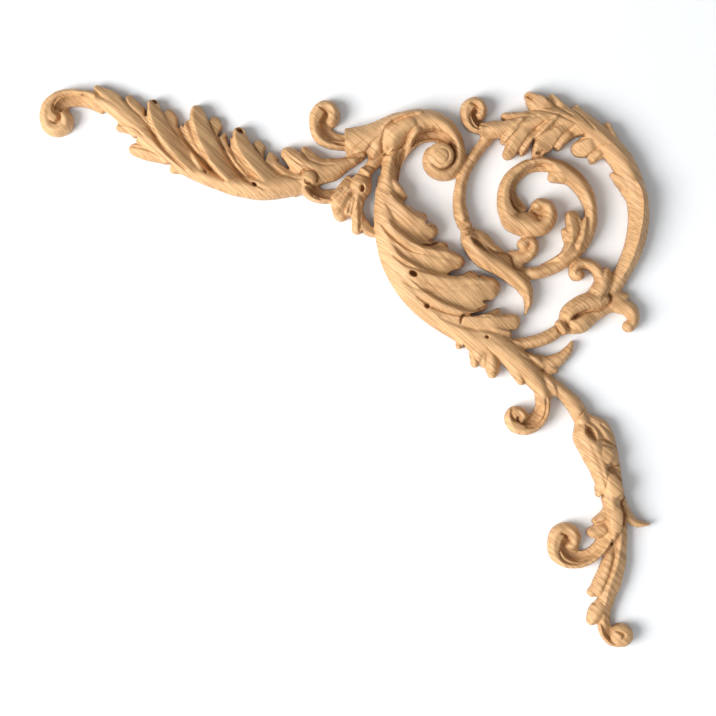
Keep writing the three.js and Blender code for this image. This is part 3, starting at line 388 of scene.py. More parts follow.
# Small forms that only this mesh has.
SMALL_FORMS = [
    stroke((612, 545, 4, 11), (606, 568, 7, 12), (600, 585, 8.5, 12), (595.5, 596, 5, 10)),
    stroke((590, 450, 8, 18), (602, 453.5, 8, 17.5), (613.5, 458.5, 5.5, 17), form="flat"),
    stroke((600, 470, 8, 18), (610.5, 484, 8, 17.5), (619, 496, 5, 16.5), form="flat"),
    stroke((609, 500, 6, 17.5), (614, 515, 6.8, 17), (613.5, 533, 5, 15.5), form="flat"),
    stroke((424, 121, 8, 19), (408, 127, 10.5, 20.5), (396, 136.5, 11, 20.5),
           (388.5, 150.5, 7.5, 19.5)),
    stroke((425, 125, 7, 18.5), (415, 135, 6.5, 18.5), (409, 148, 4, 16)),
    stroke((326, 201.5, 2.5, 13), (314, 198.5, 3.2, 14), (306.5, 192, 4, 16), (304, 184, 4.5, 17)),
    stroke((630, 175, 4, 17), (639.5, 195, 6, 18), (640.5, 215, 6.5, 18), (638, 232, 6.5, 17.5),
           (634, 248, 6, 17), (628, 264, 5.5, 16), (619, 280, 4, 14), form="keel"),
    stroke((466, 322, 9, 15), (488, 337, 12, 15.5), (506, 350, 12, 15.5), (524, 366, 7, 13)),
    stroke((478, 338, 5, 13), (483, 352, 6, 12), (485, 368, 4, 10)),
    band((338, 146.8, 1.6, 11.3), (329, 144, 2.4, 11.3), (321, 138, 3.2, 11.3),
         (316.6, 128, 3.8, 11.3), (317.8, 117.5, 4.6, 11.3), (323, 110, 4.4, 11.4),
         (329, 109.5, 4, 11.8), (332.5, 115, 4.2, 12.4), (331, 120.5, 4, 12.6)),
    band((86, 96, 2.2, 11.3), (70, 95.3, 2.6, 11.3), (59.5, 99, 3.6, 11.3), (51.3, 107.5, 5, 11.3),
         (50, 118, 5.6, 11.3), (53, 126.6, 5.4, 11.4), (60, 128.6, 5, 11.8), (65, 124.5, 5, 12.4),
         (64.8, 119, 4.6, 12.6)),
    band((536, 163.5, 2.6, 13.3), (522.5, 169.3, 3.2, 13.3), (510, 181.5, 4.4, 13.3),
         (505.2, 197, 4.8, 13.3), (507.3, 211, 5.6, 13.6), (514.5, 220.5, 7, 14)),
    band((478, 130.6, 1.5, 11.3), (471.8, 126, 3, 11.3), (467.3, 118, 3.8, 11.3),
         (468.2, 110, 4.4, 11.3), (472.5, 105.4, 3.6, 11.4), (477.5, 105.8, 3.6, 11.6),
         (480, 110, 3.4, 12), (479, 114, 3.4, 12.2)),
    band((546, 408, 1.6, 10.6), (541.6, 419.6, 1.9, 10.4), (534.2, 426.4, 2.4, 10.3),
         (524.2, 428.4, 3.4, 10.3), (516, 425.5, 4, 10.3), (511.5, 419, 4.1, 10.3),
         (513.8, 413.4, 3.8, 10.5), (519, 413, 3.4, 10.9), (521.5, 416.5, 3.2, 11.2)),
    band((590, 559.6, 1.4, 10.3), (577.8, 563, 2, 10.3), (565.3, 560.3, 3.2, 10.3),
         (556.8, 553, 4.4, 10.3), (555.2, 543.4, 4.6, 10.3), (558.2, 534.2, 5, 10.3),
         (564.2, 529.8, 4.2, 10.4), (570, 532, 4.2, 10.8), (572.3, 538, 4.2, 11.2),
         (570, 542, 3.8, 11.2)),
]

STROKES = (LEFT_VOLUTE + LEFT_LEAF + SHEATH + UPPER_VOLUTE + UPPER_LEAF + UPPER_SCROLL + BUD +
           MAIN_LEAF + MAIN_LEAF_FOOT + RING_VOLUTE + RING_LEAF + RING_STEM + SECOND_BUD +
           INNER_SCROLL + THIRD_BUD + LOWER_ARM + LOWER_CURL + LOWER_TAIL + SMALL_FORMS)

# The buttons, balls and floors at the ends of the volutes: squares right and down, radius, crest,
# and the share of the crest at which the dome starts.
BOSSES = [
    (61, 116, 10, 5.5, 0.8),
    (326, 117, 8.5, 5.5, 0.8),
    (406, 142, 6.5, 7.5, 0.8),
    (440.5, 157.5, 13.2, 19, 0.8),
    (492.3, 373.8, 4.6, 12, 0.55),
    (517, 418, 8, 5.5, 0.8),
    (475, 114, 8.5, 5.5, 0.8),
    (523, 244.5, 6, 12.5, 0.55),
    (536.5, 214.5, 9, 6.5, 0.8),
    (628.3, 326.5, 6, 12, 0.55),
    (577.8, 275.2, 5.8, 12.5, 0.55),
    (565, 543, 14, 5.5, 0.8),
    (620.8, 634, 11.6, 13, 0.55),
    (361, 187, 9.8, 16.5, 0.5),
    (309.8, 180.3, 7.4, 20, 0.78),
    (55, 118, 8, 12, 0.8),
    (518.5, 209, 5.5, 6.5, 0.8),
]

# The drilled eyes: squares right and down, long and short radius, turn in degrees and floor.
EYES = [
    (156, 103, 4, 3, 35, 8),
    (241, 132, 4.5, 3, 45, 8),
    (207, 173, 3.5, 1.5, 55, 11),
    (256, 186, 3.2, 2, 45, 11),
    (363, 190, 2.6, 4.2, 0, 9),
    (350.5, 183, 1.2, 3, 10, 11),
    (413.5, 274.5, 4.5, 3, 25, 11),
    (427, 306.5, 3.2, 2.4, 25, 11),
    (486.5, 337, 2.3, 1.7, 20, 10),
]

# The lines of the veining tool: stations of squares right and down, width and depth.
GROOVES = [
    [(56, 107, 2, 1), (57, 112, 3, 4), (61.5, 116.5, 3, 5), (62, 120, 3, 4), (58, 124, 2.5, 3),
     (53, 122.5, 1.5, 1)],
    [(125.5, 99, 2.5, 2), (131, 108, 2.5, 2), (142, 118, 2, 1.5), (152, 130, 1.5, 0.5)],
    [(150.5, 128, 2, 1.5), (161, 145, 3, 3), (174, 159, 3, 3), (188, 171, 2, 1.5)],
    [(120, 125, 1.5, 1), (135, 129, 2, 1.5), (146, 138, 1.5, 1)],
    [(133, 147, 1.5, 1), (153, 152.5, 2, 1.5), (172, 164.5, 1.5, 0.8)],
    [(180, 128, 2.5, 2), (186, 140, 3, 3), (197, 154, 3, 3), (213, 170, 2.5, 2.5),
     (226, 182, 2, 1.5)],
    [(209, 120, 2, 1.5), (215, 134, 2.5, 1.8), (224, 150, 2, 1.5)],
    [(220, 140, 2.5, 2), (230, 160, 3, 3.2), (246, 180, 3, 3), (268, 192, 2, 1)],
    [(231, 148, 2, 1.5), (237, 161, 2, 1.5), (246, 172, 1.5, 1)],
    [(256, 150, 2, 1.5), (269, 166, 3, 2.6), (285, 176, 2.5, 2), (300, 181, 2, 1)],
    [(301, 151, 2, 2), (308, 160, 2.5, 2), (322, 166, 2, 1), (336, 166, 1.5, 0.6)],
    [(288, 157, 1.5, 1), (300, 165, 2, 1.2), (316, 172, 1.5, 0.6)],
    [(321, 109, 2, 2), (325.5, 112, 2.5, 4), (328, 115.5, 2.5, 5), (324.5, 119.5, 2.5, 4),
     (320.5, 124, 2, 2)],
    [(366, 155, 2, 2), (372, 146, 2.5, 2), (380, 139, 2, 1)],
    [(353, 152, 1.5, 1), (364, 144, 2, 1), (378, 136, 1.5, 0.6)],
    [(382, 153, 2, 2.5), (382, 143, 2, 2.5), (384.5, 133, 2, 1.5)],
    [(403, 148, 2, 3), (406, 140, 2.5, 2.5), (413, 131, 2, 1)],
    [(385.5, 131, 2.5, 1.5), (394, 124, 4, 3), (404, 119.5, 3, 2), (415, 116.5, 1.5, 0.6)],
    [(435.5, 154.5, 1.2, 0.8), (440.5, 150.5, 1.4, 1), (446.5, 153, 1.6, 1.4),
     (448.5, 158.5, 1.6, 1.4), (445.5, 164, 1.4, 1), (440, 165.5, 1.2, 0.8),
     (435.5, 162, 1.2, 0.5)],
    [(445, 144.8, 1.4, 2), (451, 148.6, 1.8, 4), (454.4, 155.5, 1.8, 4.5), (453, 163.5, 1.8, 4),
     (447.5, 169.3, 1.5, 2.5), (440, 170.6, 1.4, 1.6), (432.5, 166.5, 1.2, 1)],
    [(384, 156, 1.4, 2), (390, 155.3, 1.8, 3.5), (396, 151, 1.8, 3.5), (402, 148, 1.4, 2)],
    [(306.5, 182, 2, 2), (310, 184, 2.5, 3.5), (314, 186.5, 2, 2.5), (319.5, 188.5, 2, 1.5)],
    [(338, 207, 2, 0.8), (345, 197, 2.6, 1.4), (351, 188, 1.5, 0.6)],
    [(348, 218, 2.5, 1.6), (350.5, 206, 3, 2), (353.5, 194, 2, 1)],
    [(360, 232, 1.5, 1.5), (360.5, 218, 2, 2), (360, 204, 2, 1.5)],
    [(382, 226, 2, 1.5), (390, 236, 3, 3), (400, 244, 3, 3), (410, 251, 2.5, 2.5),
     (421, 255, 2, 1.2)],
    [(394, 257, 2, 1.5), (405, 265, 3, 2.6), (415, 269.5, 3, 2.6), (426, 272.5, 2.5, 2),
     (441, 275, 2, 1)],
    [(386, 205, 2, 0.8), (396, 220, 3.5, 1.2), (409, 234, 3.5, 1.1), (424, 241, 2, 0.6)],
    [(404, 283, 2, 0.8), (420, 290, 3.5, 1.3), (438, 292, 3.5, 1.3), (458, 290, 2, 0.8)],
    [(408, 244, 2, 0.6), (424, 254, 3.5, 1.1), (442, 258, 3.5, 1.1), (454, 261, 2, 0.5)],
    [(426, 283, 2, 0.8), (446, 288, 4, 1.2), (466, 285, 4, 1.2), (482, 284, 2, 0.6)],
    [(418, 298, 2, 1.5), (436, 309, 2.5, 2.4), (456, 315, 2.5, 2.4), (474, 316, 2, 1.5),
     (490, 317, 1.5, 1)],
    [(440, 318, 2, 0.8), (460, 326, 3.5, 1.3), (480, 330, 3.5, 1.3), (500, 333, 2, 0.8)],
    [(462, 347, 1.6, 1.4), (455, 340, 1.8, 1.2), (446, 333, 1.6, 0.8), (438, 327.5, 1.2, 0.4)],
    [(479, 364, 1.6, 1.2), (473, 354, 1.8, 1), (466, 344, 1.2, 0.5)],
    [(500, 363, 1.8, 1.8), (494, 355, 2, 1.5), (487, 348, 1.5, 0.7)],
    [(526, 350, 1.8, 1.5), (517, 344, 1.8, 1.2), (506, 340, 1.2, 0.5)],
    [(543, 371, 2, 1.5), (533, 363, 2.5, 1.8), (520, 355, 2, 1)],
    [(512, 409, 2, 2), (511, 414, 2.5, 3.5), (513.5, 419, 2.5, 3.5), (518, 421, 2, 1.5)],
    [(471, 105, 1.8, 2), (475.5, 107, 2.2, 3.5), (478, 110, 2.2, 4), (475, 113, 2.2, 3.5),
     (471, 115, 2, 2), (469.5, 119, 1.5, 1)],
    [(505, 121, 2, 1.5), (516, 119, 2.5, 1.8), (530, 119, 2, 1.2)],
    [(502, 144, 2, 1.5), (509, 135, 2.5, 2), (521, 125, 2.5, 1.8), (536, 119, 2, 1)],
    [(518, 152, 2, 1.8), (526, 140, 2.5, 2.2), (538, 128, 2, 1.8), (552, 120, 1.5, 1)],
    [(533, 111, 1.5, 1), (545, 114, 2, 1.5), (560, 119, 2, 1.5), (576, 127, 1.5, 1)],
    [(546, 101, 2, 1.5), (556, 109, 2.2, 1.8), (570, 118, 2, 1.2)],
    [(570, 110, 2, 1.5), (580, 119, 2.2, 1.6), (592, 131, 2, 1)],
    [(553, 149, 2, 1.5), (561, 137, 2.2, 1.8), (573, 128, 2, 1)],
    [(586, 158, 2, 1.5), (597, 150, 2, 1.5), (610, 145, 1.5, 0.8)],
    [(532, 211, 2, 2), (535.5, 217, 2.5, 3), (538, 221, 2.5, 3), (542, 218, 2, 1.5)],
    [(576, 220, 1.8, 1.5), (578, 232, 2, 1.8), (572, 246, 1.8, 1.2)],
    [(566, 224, 1.8, 1.5), (569, 236, 2, 1.6), (566, 248, 1.5, 0.8)],
    [(572, 306, 1.5, 1), (584, 298, 2, 1.4), (594, 292, 1.5, 0.8)],
    [(600, 300, 1.5, 1), (606, 290, 2, 1.2), (609, 279, 1.5, 0.8)],
    [(590, 446, 3, 0.6), (597, 462, 3.5, 0.9), (603, 480, 3, 0.9), (608, 498, 2, 0.6)],
    [(601, 497, 2, 1.5), (604, 486, 2, 1.2), (606, 474, 1.5, 0.6)],
    [(561, 532, 2, 2), (566, 535, 2.5, 4), (568.5, 539, 2.5, 4.5), (564, 543, 2.5, 4),
     (560, 548, 2, 2)],
    [(616, 530, 1.5, 1), (614, 550, 2, 1.6), (610, 570, 2, 1.6), (602, 588, 1.8, 1.2)],
    [(615, 629, 1.5, 1.5), (619.5, 630.5, 2, 3), (622.5, 633, 2, 3), (620.5, 636, 1.5, 1.5)],
    [(398, 153, 1.5, 1), (395.5, 162, 2, 4), (395.5, 172, 2, 4), (397.5, 181, 2, 3),
     (401, 187, 1.5, 1)],
    [(412, 150, 1.5, 2), (415.5, 141, 2, 4.5), (421, 135.5, 2, 5), (428, 132, 2, 5),
     (435, 131.8, 2, 5), (442, 134, 2, 4.5), (449.5, 139.5, 2, 4), (455.5, 147.5, 1.5, 2.5)],
    [(552, 167, 1.5, 2), (545, 166, 2, 4), (537, 166, 2, 4.5), (528.5, 168.5, 2, 5),
     (521, 173.5, 2, 5), (514.5, 180.5, 2, 5), (510.8, 188, 2, 5), (510, 197, 2, 5),
     (512, 205, 2, 4), (518, 212, 1.5, 2)],
    [(466, 235.5, 1.6, 2), (470, 234, 1.8, 3), (475, 229, 1.6, 2)],
    [(456.5, 223.5, 1.4, 2), (463, 223, 1.6, 2.5), (468, 218.5, 1.4, 2)],
    [(363, 164, 1.4, 1.5), (369, 167, 1.6, 2.5), (376, 170, 1.4, 1.5)],
    [(357, 174, 1.4, 1.5), (363, 177, 1.6, 2.5), (370, 180.5, 1.4, 1.5)],
    [(554, 323, 1.4, 1.5), (557.5, 331, 1.6, 2.5), (561.5, 337, 1.4, 1.5)],
    [(562, 317.5, 1.4, 1.5), (566, 324, 1.6, 2.5), (570.5, 333, 1.4, 1.5)],
    [(583, 410, 1.4, 1.5), (578, 416.5, 1.6, 2), (573, 419.5, 1.4, 1.5)],
    [(471.5, 239, 2, 2), (475, 242.3, 3.8, 8), (479, 246, 3.6, 7), (484, 250, 2.4, 4),
     (489, 253.5, 1.2, 1)],
    [(486.5, 247.5, 1.5, 1), (493, 252.5, 2, 3), (503, 254, 2.4, 4), (510, 257, 2.4, 4),
     (511.5, 263.5, 2, 4), (513, 268, 2, 4), (521, 271.5, 1.6, 3)],
    [(570, 319, 2, 2), (574, 317, 3.8, 8), (579, 314.5, 3.2, 6), (585, 311.5, 2, 3),
     (590, 309.5, 1.2, 0.8)],
    [(585, 312, 1.5, 1), (594, 311, 2, 3), (602, 309, 2.4, 4), (607.5, 305, 2.4, 4),
     (610, 300, 2, 4), (607.5, 294.5, 1.6, 3)],
    [(585, 425, 2.4, 2), (587.5, 429.5, 6, 9), (590.5, 434, 5.4, 8.5), (593.5, 438.5, 3, 4)],
    [(595, 438, 1.5, 1), (603, 439.5, 2, 3), (611.5, 444, 2, 4), (618.5, 453, 1.8, 4),
     (618.5, 463.5, 2, 4), (606, 467.8, 2, 4), (614.5, 473.3, 2, 4), (621.5, 482.5, 1.8, 4),
     (625.5, 493, 1.8, 4), (620, 502, 2, 4), (623, 512, 2, 3), (622, 526, 2, 3)],
    [(437.5, 243.5, 2, 6), (430, 246, 2, 6), (421, 245.5, 1.6, 3), (410, 242, 1.5, 1)],
    [(472, 314.5, 2, 5), (465, 314.8, 2.2, 7), (461, 318, 2.2, 6), (460.5, 323.5, 1.5, 2)],
    [(429, 226.5, 1.6, 2), (434, 227.5, 3, 6), (438, 231, 2, 3)],
    [(524.5, 97, 1.5, 2), (528, 98.5, 2.4, 5), (531.5, 101.5, 1.6, 2)],
    [(536, 154.5, 1.8, 3), (539.5, 154, 2.2, 4), (542, 152.5, 1.5, 2)],
    [(153.5, 101.5, 1.6, 2), (156.5, 103, 2.6, 6), (159, 105.5, 1.6, 2)],
    [(238.5, 130.5, 1.6, 2), (241.5, 132, 2.6, 6), (244.5, 134.5, 1.6, 2)],
    [(88, 96.5, 1.4, 1), (76, 95.8, 1.6, 2.5), (66, 98, 1.6, 3), (59, 101.5, 1.8, 3),
     (55.5, 107, 1.8, 2.5)],
    [(319.5, 128, 1.6, 2), (322.5, 136.5, 1.8, 3), (328.5, 141.5, 1.8, 3), (338, 145, 1.6, 2.5),
     (348, 146, 1.4, 1.5)],
    [(545, 398, 1.5, 1), (545, 411, 1.8, 2.5), (541, 420.5, 1.8, 3), (534, 426, 1.8, 3),
     (526, 426.5, 1.8, 2.5)],
    [(558.5, 550, 1.6, 2), (561, 557.5, 1.8, 3), (567, 561.5, 1.8, 3), (577, 562, 1.6, 2),
     (588, 557.5, 1.4, 1)],
    [(469.5, 120, 1.5, 2), (473, 127.5, 1.6, 2.5), (480, 131, 1.4, 1)],
    [(309.5, 190, 1.5, 2), (313.5, 197.5, 1.6, 2.5), (322, 200.5, 1.4, 1.5)],
    [(548, 171.5, 2, 2), (539, 171, 4, 3.5), (530, 172.8, 4, 3.5), (522, 178, 4.5, 3.5),
     (516, 186, 4.5, 3.5), (514.5, 195, 4.5, 3.5), (518.5, 203, 4.5, 3.5), (527, 208.5, 3, 2)],
    [(413, 147, 2, 2), (419, 141, 4, 4), (428, 138, 4.5, 4), (438, 138.5, 4.5, 4),
     (446, 143, 3.5, 3)],
    [(405, 150, 2, 2), (402.5, 158, 4, 4), (399.5, 168, 3.5, 4), (398.5, 178, 2.5, 3)],
    [(347, 159, 1.5, 2), (353, 157.5, 1.8, 3), (360, 156, 1.8, 3), (366.5, 154, 1.6, 3)],
    [(368.5, 157, 1.4, 2), (373.5, 160, 1.6, 3), (380.4, 156.3, 1.6, 3), (384.5, 152, 1.4, 2)],
    [(548, 169.5, 2.5, 1.5), (539, 168.8, 3.5, 2.5), (529.7, 170.8, 3.5, 2.5),
     (521, 176.3, 4, 2.5), (514.5, 184.8, 4, 2.5), (513.2, 195, 4, 2.5), (517.3, 203.7, 4, 2.5),
     (526, 208.5, 2.5, 1.5)],
    [(413, 145, 2.5, 1.5), (419, 139.3, 4, 3), (428, 135.8, 4, 3), (438, 136.3, 4, 3),
     (447.5, 141.3, 3.5, 3)],
    [(404, 152, 2.5, 2), (400.3, 160, 3.5, 3), (397.8, 169, 3, 3), (397.5, 177, 2, 2)],
    [(86, 101, 3, 1.5), (77, 101.5, 5, 3), (68, 104, 5, 4), (61.5, 110, 4, 4)],
    [(340, 141, 3, 1.5), (331, 138, 4.5, 3), (325, 131, 4.5, 4), (324, 123, 4, 4)],
    [(541, 404, 3, 1), (538, 413, 4.5, 2.5), (531, 419, 4.5, 3), (524, 421, 3.5, 3)],
    [(596, 548, 3, 1), (587, 555, 5, 2.5), (577, 556, 5, 3.5), (568, 553, 5, 4), (562, 546, 4, 4)],
    [(484, 128, 2.5, 1), (477, 124, 3.5, 3), (474, 118, 3.5, 3.5)],
    [(302.5, 174, 1.6, 2.5), (306, 171.8, 1.8, 3.5), (311, 171.3, 1.8, 4), (315.8, 173.6, 1.8, 4),
     (318.2, 178.2, 1.8, 4), (318, 183, 1.6, 3)],
    [(306.5, 184.5, 1.4, 3), (310.5, 186, 2.2, 6), (314.5, 188, 2, 5)],
    [(600, 424, 2.5, 1.5), (607, 431, 3, 2.5), (612.5, 440, 3, 3), (617.5, 448.5, 2.5, 2.5)],
    [(607, 468, 2, 3), (613.5, 469.5, 3.5, 4.5), (619, 472.5, 3.5, 4.5)],
]

# Notches between the lobes, sawn right through: stations of squares right and down, and half width.
NOTCHES = [
    [(124.5, 95.5, 2.4), (125.5, 101.5, 0.9)],
    [(147.5, 106.5, 1.5), (147.5, 116.5, 0.9)],
    [(181, 117.5, 3), (180, 127.5, 1)],
    [(166, 107.5, 2.6), (165.5, 110.5, 1)],
    [(212.5, 109.5, 2.8), (210.8, 115, 1.8), (209.5, 120, 1)],
    [(226.5, 128, 2.8), (223, 132.5, 1.8), (220, 137, 0.9)],
    [(228.8, 139, 1.6), (230.6, 147, 0.8)],
    [(253.5, 138, 2.4), (252.5, 143.5, 0.9)],
    [(268.5, 149.5, 2.6), (266.3, 155, 1.8), (265.8, 160.5, 0.9)],
    [(281.5, 161, 3), (289, 169, 1)],
    [(133, 140.5, 2.8), (138.5, 139.2, 1)],
    [(166.5, 167.5, 3.2), (172, 165, 1)],
    [(298.5, 147, 2.8), (299, 152, 1)],
    [(366.5, 161, 2), (367, 156, 0.9)],
    [(362.8, 237, 1.8), (362.8, 231.5, 0.9)],
    [(348, 223, 2.2), (350, 217.5, 0.9)],
    [(411, 204.2, 2.8), (404.5, 204.3, 1)],
    [(432, 219.8, 2.8), (426.8, 223.5, 1)],
    [(453.5, 247, 2.8), (449.5, 250.5, 1)],
    [(469, 267.5, 3.6), (459, 273.5, 2.6), (449, 275, 1.2)],
    [(481, 272, 1.8), (478.6, 277, 0.9)],
    [(493, 303, 2.4), (484, 301.7, 0.9)],
    [(495, 307, 2.4), (484, 312.3, 1.6), (472, 315, 1.2)],
    [(505.3, 308.5, 2.6), (503.3, 314, 1)],
    [(516, 332.5, 1.8), (510.8, 331, 0.9)],
    [(533, 350.2, 1.8), (525.5, 351, 0.9)],
    [(463, 351.5, 2), (463.6, 346, 1)],
    [(480.5, 368.5, 2), (478.3, 365.5, 0.9)],
    [(499, 120, 2.4), (504, 121.8, 0.9)],
    [(545, 95.5, 2.2), (546, 100.5, 0.9)],
    [(569, 103.5, 2.4), (569.8, 109.5, 0.9)],
    [(585, 162.5, 2), (586.5, 157.8, 0.9)],
    [(565, 152, 4), (569, 145, 2.6), (576, 139, 1.4), (583, 136.8, 0.8)],
    [(552.3, 154, 1.8), (553, 150, 0.9)],
    [(528.5, 157.5, 3), (530.3, 149, 2), (533.3, 141.5, 0.9)],
    [(516.8, 158.5, 2.2), (518, 153.8, 0.9)],
    [(535, 286.5, 1.6), (531.5, 286.3, 0.8)],
    [(602, 264.5, 1.8), (602, 268.5, 0.9)],
    [(632, 299, 1.8), (627.8, 300, 0.9)],
    [(599, 500, 2), (602, 495, 0.9)],
    [(590.5, 541, 2), (595.3, 538, 0.9)],
    [(593, 600.5, 2.4), (597.8, 596.5, 0.9)],
    [(581.5, 213, 2), (581, 218.5, 0.9)],
    [(561.3, 224.2, 2), (564.8, 226, 0.9)],
]


class AppliqueSettings(bpy.types.PropertyGroup):
    """Sizes and colours of the carving."""

    voxel: FloatProperty(
        name="Voxel", description="Size of the voxels that join the strokes into one surface",
        default=0.0006, min=0.0002, unit="LENGTH", precision=5)
    smoothing: IntProperty(
        name="Smoothing", description="Passes that soften the cut edges, as sanding does",
        default=1, min=0)
    triangles: IntProperty(
        name="Triangles", description="Most triangles that the finished carving has",
        default=190000)
    wood_light: FloatVectorProperty(
        name="Early wood", description="Colour of the pale wood between the grain lines",
        subtype="COLOR", size=3, default=(0.72, 0.43, 0.205))
    wood_dark: FloatVectorProperty(
        name="Late wood", description="Colour of the grain lines",
        subtype="COLOR", size=3, default=(0.37, 0.185, 0.072))
    ring: FloatProperty(
        name="Ring spacing", description="Distance from one grain line to the next",
        default=0.0016, unit="LENGTH", precision=5)
    grain_angle: FloatProperty(
        name="Grain angle", description="How far the grain falls towards the right",
        default=math.radians(41), subtype="ANGLE")
    roughness: FloatProperty(
        name="Roughness", description="Roughness of the sanded wood", default=0.55, min=0, max=1)


class StageSettings(bpy.types.PropertyGroup):
    """The wall, the light and the camera."""

    wall: FloatVectorProperty(
        name="Wall", description="Colour of the wall and the floor", subtype="COLOR", size=3,
        default=(0.92, 0.93, 0.94))
    key: FloatProperty(
        name="Key light", description="Power of the soft light from the lower left",
        default=94.0, unit="POWER")
    sky: FloatProperty(
        name="Sky", description="Strength of the even light from all round", default=0.36)
    lens: FloatProperty(
        name="Lens", description="Focal length of the camera", default=100.0, unit="CAMERA")


# Placing the drawing.

SPAN_POINTS = 40        # points of a curve from one station to the next
STRAIGHT_POINTS = 60    # points of a line that has only two stations
FACET = 1.0             # squares between the rows and between the columns of a stroke's surface
FEWEST_ROWS = 6
COLUMNS = (8, 40)       # the fewest and the most columns
TIP_ROWS = 7            # rows that close a rounded end
SMALLEST_TIP = 0.5      # radius in squares of the sharpest end
CLOSED_WIDTH = 0.03     # share of the width that is left at the very tip
CLOSED_CREST = 0.7      # share of the crest that is left there
EDGE_SHARE = 0.55       # height of a rounded tip, as a share of that crest
BOSS_SIDES = 48
BOSS_RINGS = 9


def smooth(f):
    """Eases a share, and keeps it between 0 and 1."""
    f = np.clip(f, 0, 1)
    return f * f * (3 - 2 * f)


def place(right, down):
    """A place on the squared paper, in metres across and up."""
    return (right - ORIGIN_SQUARE[0]) * SQUARE, (ORIGIN_SQUARE[1] - down) * SQUARE


def height_of(crest):
    """The height over the back of a crest on the drawing's scale."""
    return crest / FULL_CREST * RELIEF


def curve_through(stations):
    """A centripetal curve through the stations: points, and the station number at each."""
    points = stations[:, :2]
    if len(points) == 2:
        at = np.linspace(0, 1, STRAIGHT_POINTS)
        return points[0] + (points[1] - points[0]) * at[:, None], at
    ends = np.vstack([2 * points[0] - points[1], points, 2 * points[-1] - points[-2]])
    parts, numbers = [], []
    for k, (a, b, c, d) in enumerate(zip(ends[:-3], ends[1:-2], ends[2:-1], ends[3:])):
        t0, t1, t2 = (max(math.sqrt(np.linalg.norm(v)), 1e-4) for v in (b - a, c - b, d - c))
        leave = ((b - a) / t0 - (c - a) / (t0 + t1) + (c - b) / t1) * t1
        arrive = ((c - b) / t1 - (d - b) / (t1 + t2) + (d - c) / t2) * t1
        t = np.linspace(0, 1, SPAN_POINTS, endpoint=False)
        numbers.append(k + t)
        t = t[:, None]
        parts.append(b + leave * t + (3 * (c - b) - 2 * leave - arrive) * t ** 2
                     + (2 * (b - c) + leave + arrive) * t ** 3)
    return np.vstack(parts + [points[-1:]]), np.append(np.concatenate(numbers), len(points) - 1)


def tip_radius(station, length):
    """The radius that rounds a stroke off at one of its end stations."""
    return min(max(station[2], SMALLEST_TIP), length / 2)


def rows_along(drawn):
    """The rows of a stroke: point, left-hand normal, half width, crest and closing at each."""
    stations = drawn["stations"]
    points, numbers = curve_through(stations)
    run = np.r_[0, np.cumsum(np.linalg.norm(np.diff(points, axis=0), axis=1))]
    length = run[-1]
    places = np.linspace(0, length, max(int(length / FACET), FEWEST_ROWS))
    tip = start = 0
    turn = np.linspace(0, math.pi / 2, TIP_ROWS)
    if drawn["ends"] != NONE:
        tip = tip_radius(stations[-1], length)
        places = np.r_[places[places < length - tip], (length - tip * (1 - np.cos(turn)))[::-1]]
    if drawn["ends"] == BOTH:
        start = tip_radius(stations[0], length)
        places = np.r_[start * (1 - np.cos(turn)), places[places > start]]

    def along(values):
        return np.c_[np.interp(places, run, values[:, 0]), np.interp(places, run, values[:, 1])]

    at = np.interp(places, run, numbers)
    span = np.clip(at.astype(int), 0, len(stations) - 2)
    blend = smooth(at - span)[:, None]
    sizes = stations[span, 2:] * (1 - blend) + stations[span + 1, 2:] * blend
    ahead = along(np.gradient(points, axis=0))
    ahead /= np.linalg.norm(ahead, axis=1)[:, None] + 1e-12
    closing = np.ones(len(places))
    for radius, to_end in ((tip, length - places), (start, places)):
        if radius:
            share = np.clip(to_end / radius, 0, 1)
            rounded = np.clip(1 - (1 - share) ** 2, CLOSED_WIDTH ** 2, 1)
            closing = np.minimum(closing, np.sqrt(rounded))
    crest = sizes[:, 1] * (CLOSED_CREST + (1 - CLOSED_CREST) * closing)
    if drawn["ends"] == TIP:
        root, root_length = ROOTS.get(drawn["form"], PLAIN_ROOT)
        crest *= root + (1 - root) * smooth(places / root_length)
    return along(points), np.c_[ahead[:, 1], -ahead[:, 0]], sizes[:, 0] * closing, crest, closing


def section_at(form, across):
    """Share of the crest at places across a stroke, from its low side to its high side."""
    low_edge, low_bow, high_edge, high_bow, top = SECTIONS[form]
    low = across < top
    fall = np.where(low, (top - across) / (1 + top), (across - top) / (1 - top))

    def shape(edge, bow):
        return edge + (1 - edge) * (1 - fall ** (1 + bow) if bow >= 0 else (1 - fall) ** (1 - bow))

    return np.where(low, shape(low_edge, low_bow), shape(high_edge, high_bow))


def only(kind, items):
    """Those of the mesh elements that are of one kind."""
    return [item for item in items if isinstance(item, kind)]


def stroke_solid(bm, drawn):
    """Makes one stroke of the drawing: a sheet over its rows, closed down to a flat back."""
    centre, left, half, crest, closing = rows_along(drawn)
    last = len(half) - 1
    columns = int(np.clip(2 * half.max() / FACET, *COLUMNS))
    grid = bmesh.ops.create_grid(bm, x_segments=columns, y_segments=last, size=0.5)["verts"]
    faces = bm.faces[:]
    across, along = (np.array([vert.co.xy for vert in grid]) + 0.5).T
    row = along * last

    def read(values):
        return np.interp(row, np.arange(last + 1), values)

    side = 2 * across - 1
    reach = side * drawn["high"] * read(half)
    share = EDGE_SHARE + (section_at(drawn["form"], side) - EDGE_SHARE) * read(closing)
    x, z = place(read(centre[:, 0]) + read(left[:, 0]) * reach,
                 read(centre[:, 1]) + read(left[:, 1]) * reach)
    y = -height_of(read(crest) * share)
    for vert, *spot in zip(grid, x, y, z):
        vert.co = spot
    bmesh.ops.recalc_face_normals(bm, faces=faces)
    back = bmesh.ops.extrude_face_region(bm, geom=faces, use_keep_orig=True)["geom"]
    for vert in only(BMVert, back):
        vert.co.y = SAW_ALLOWANCE


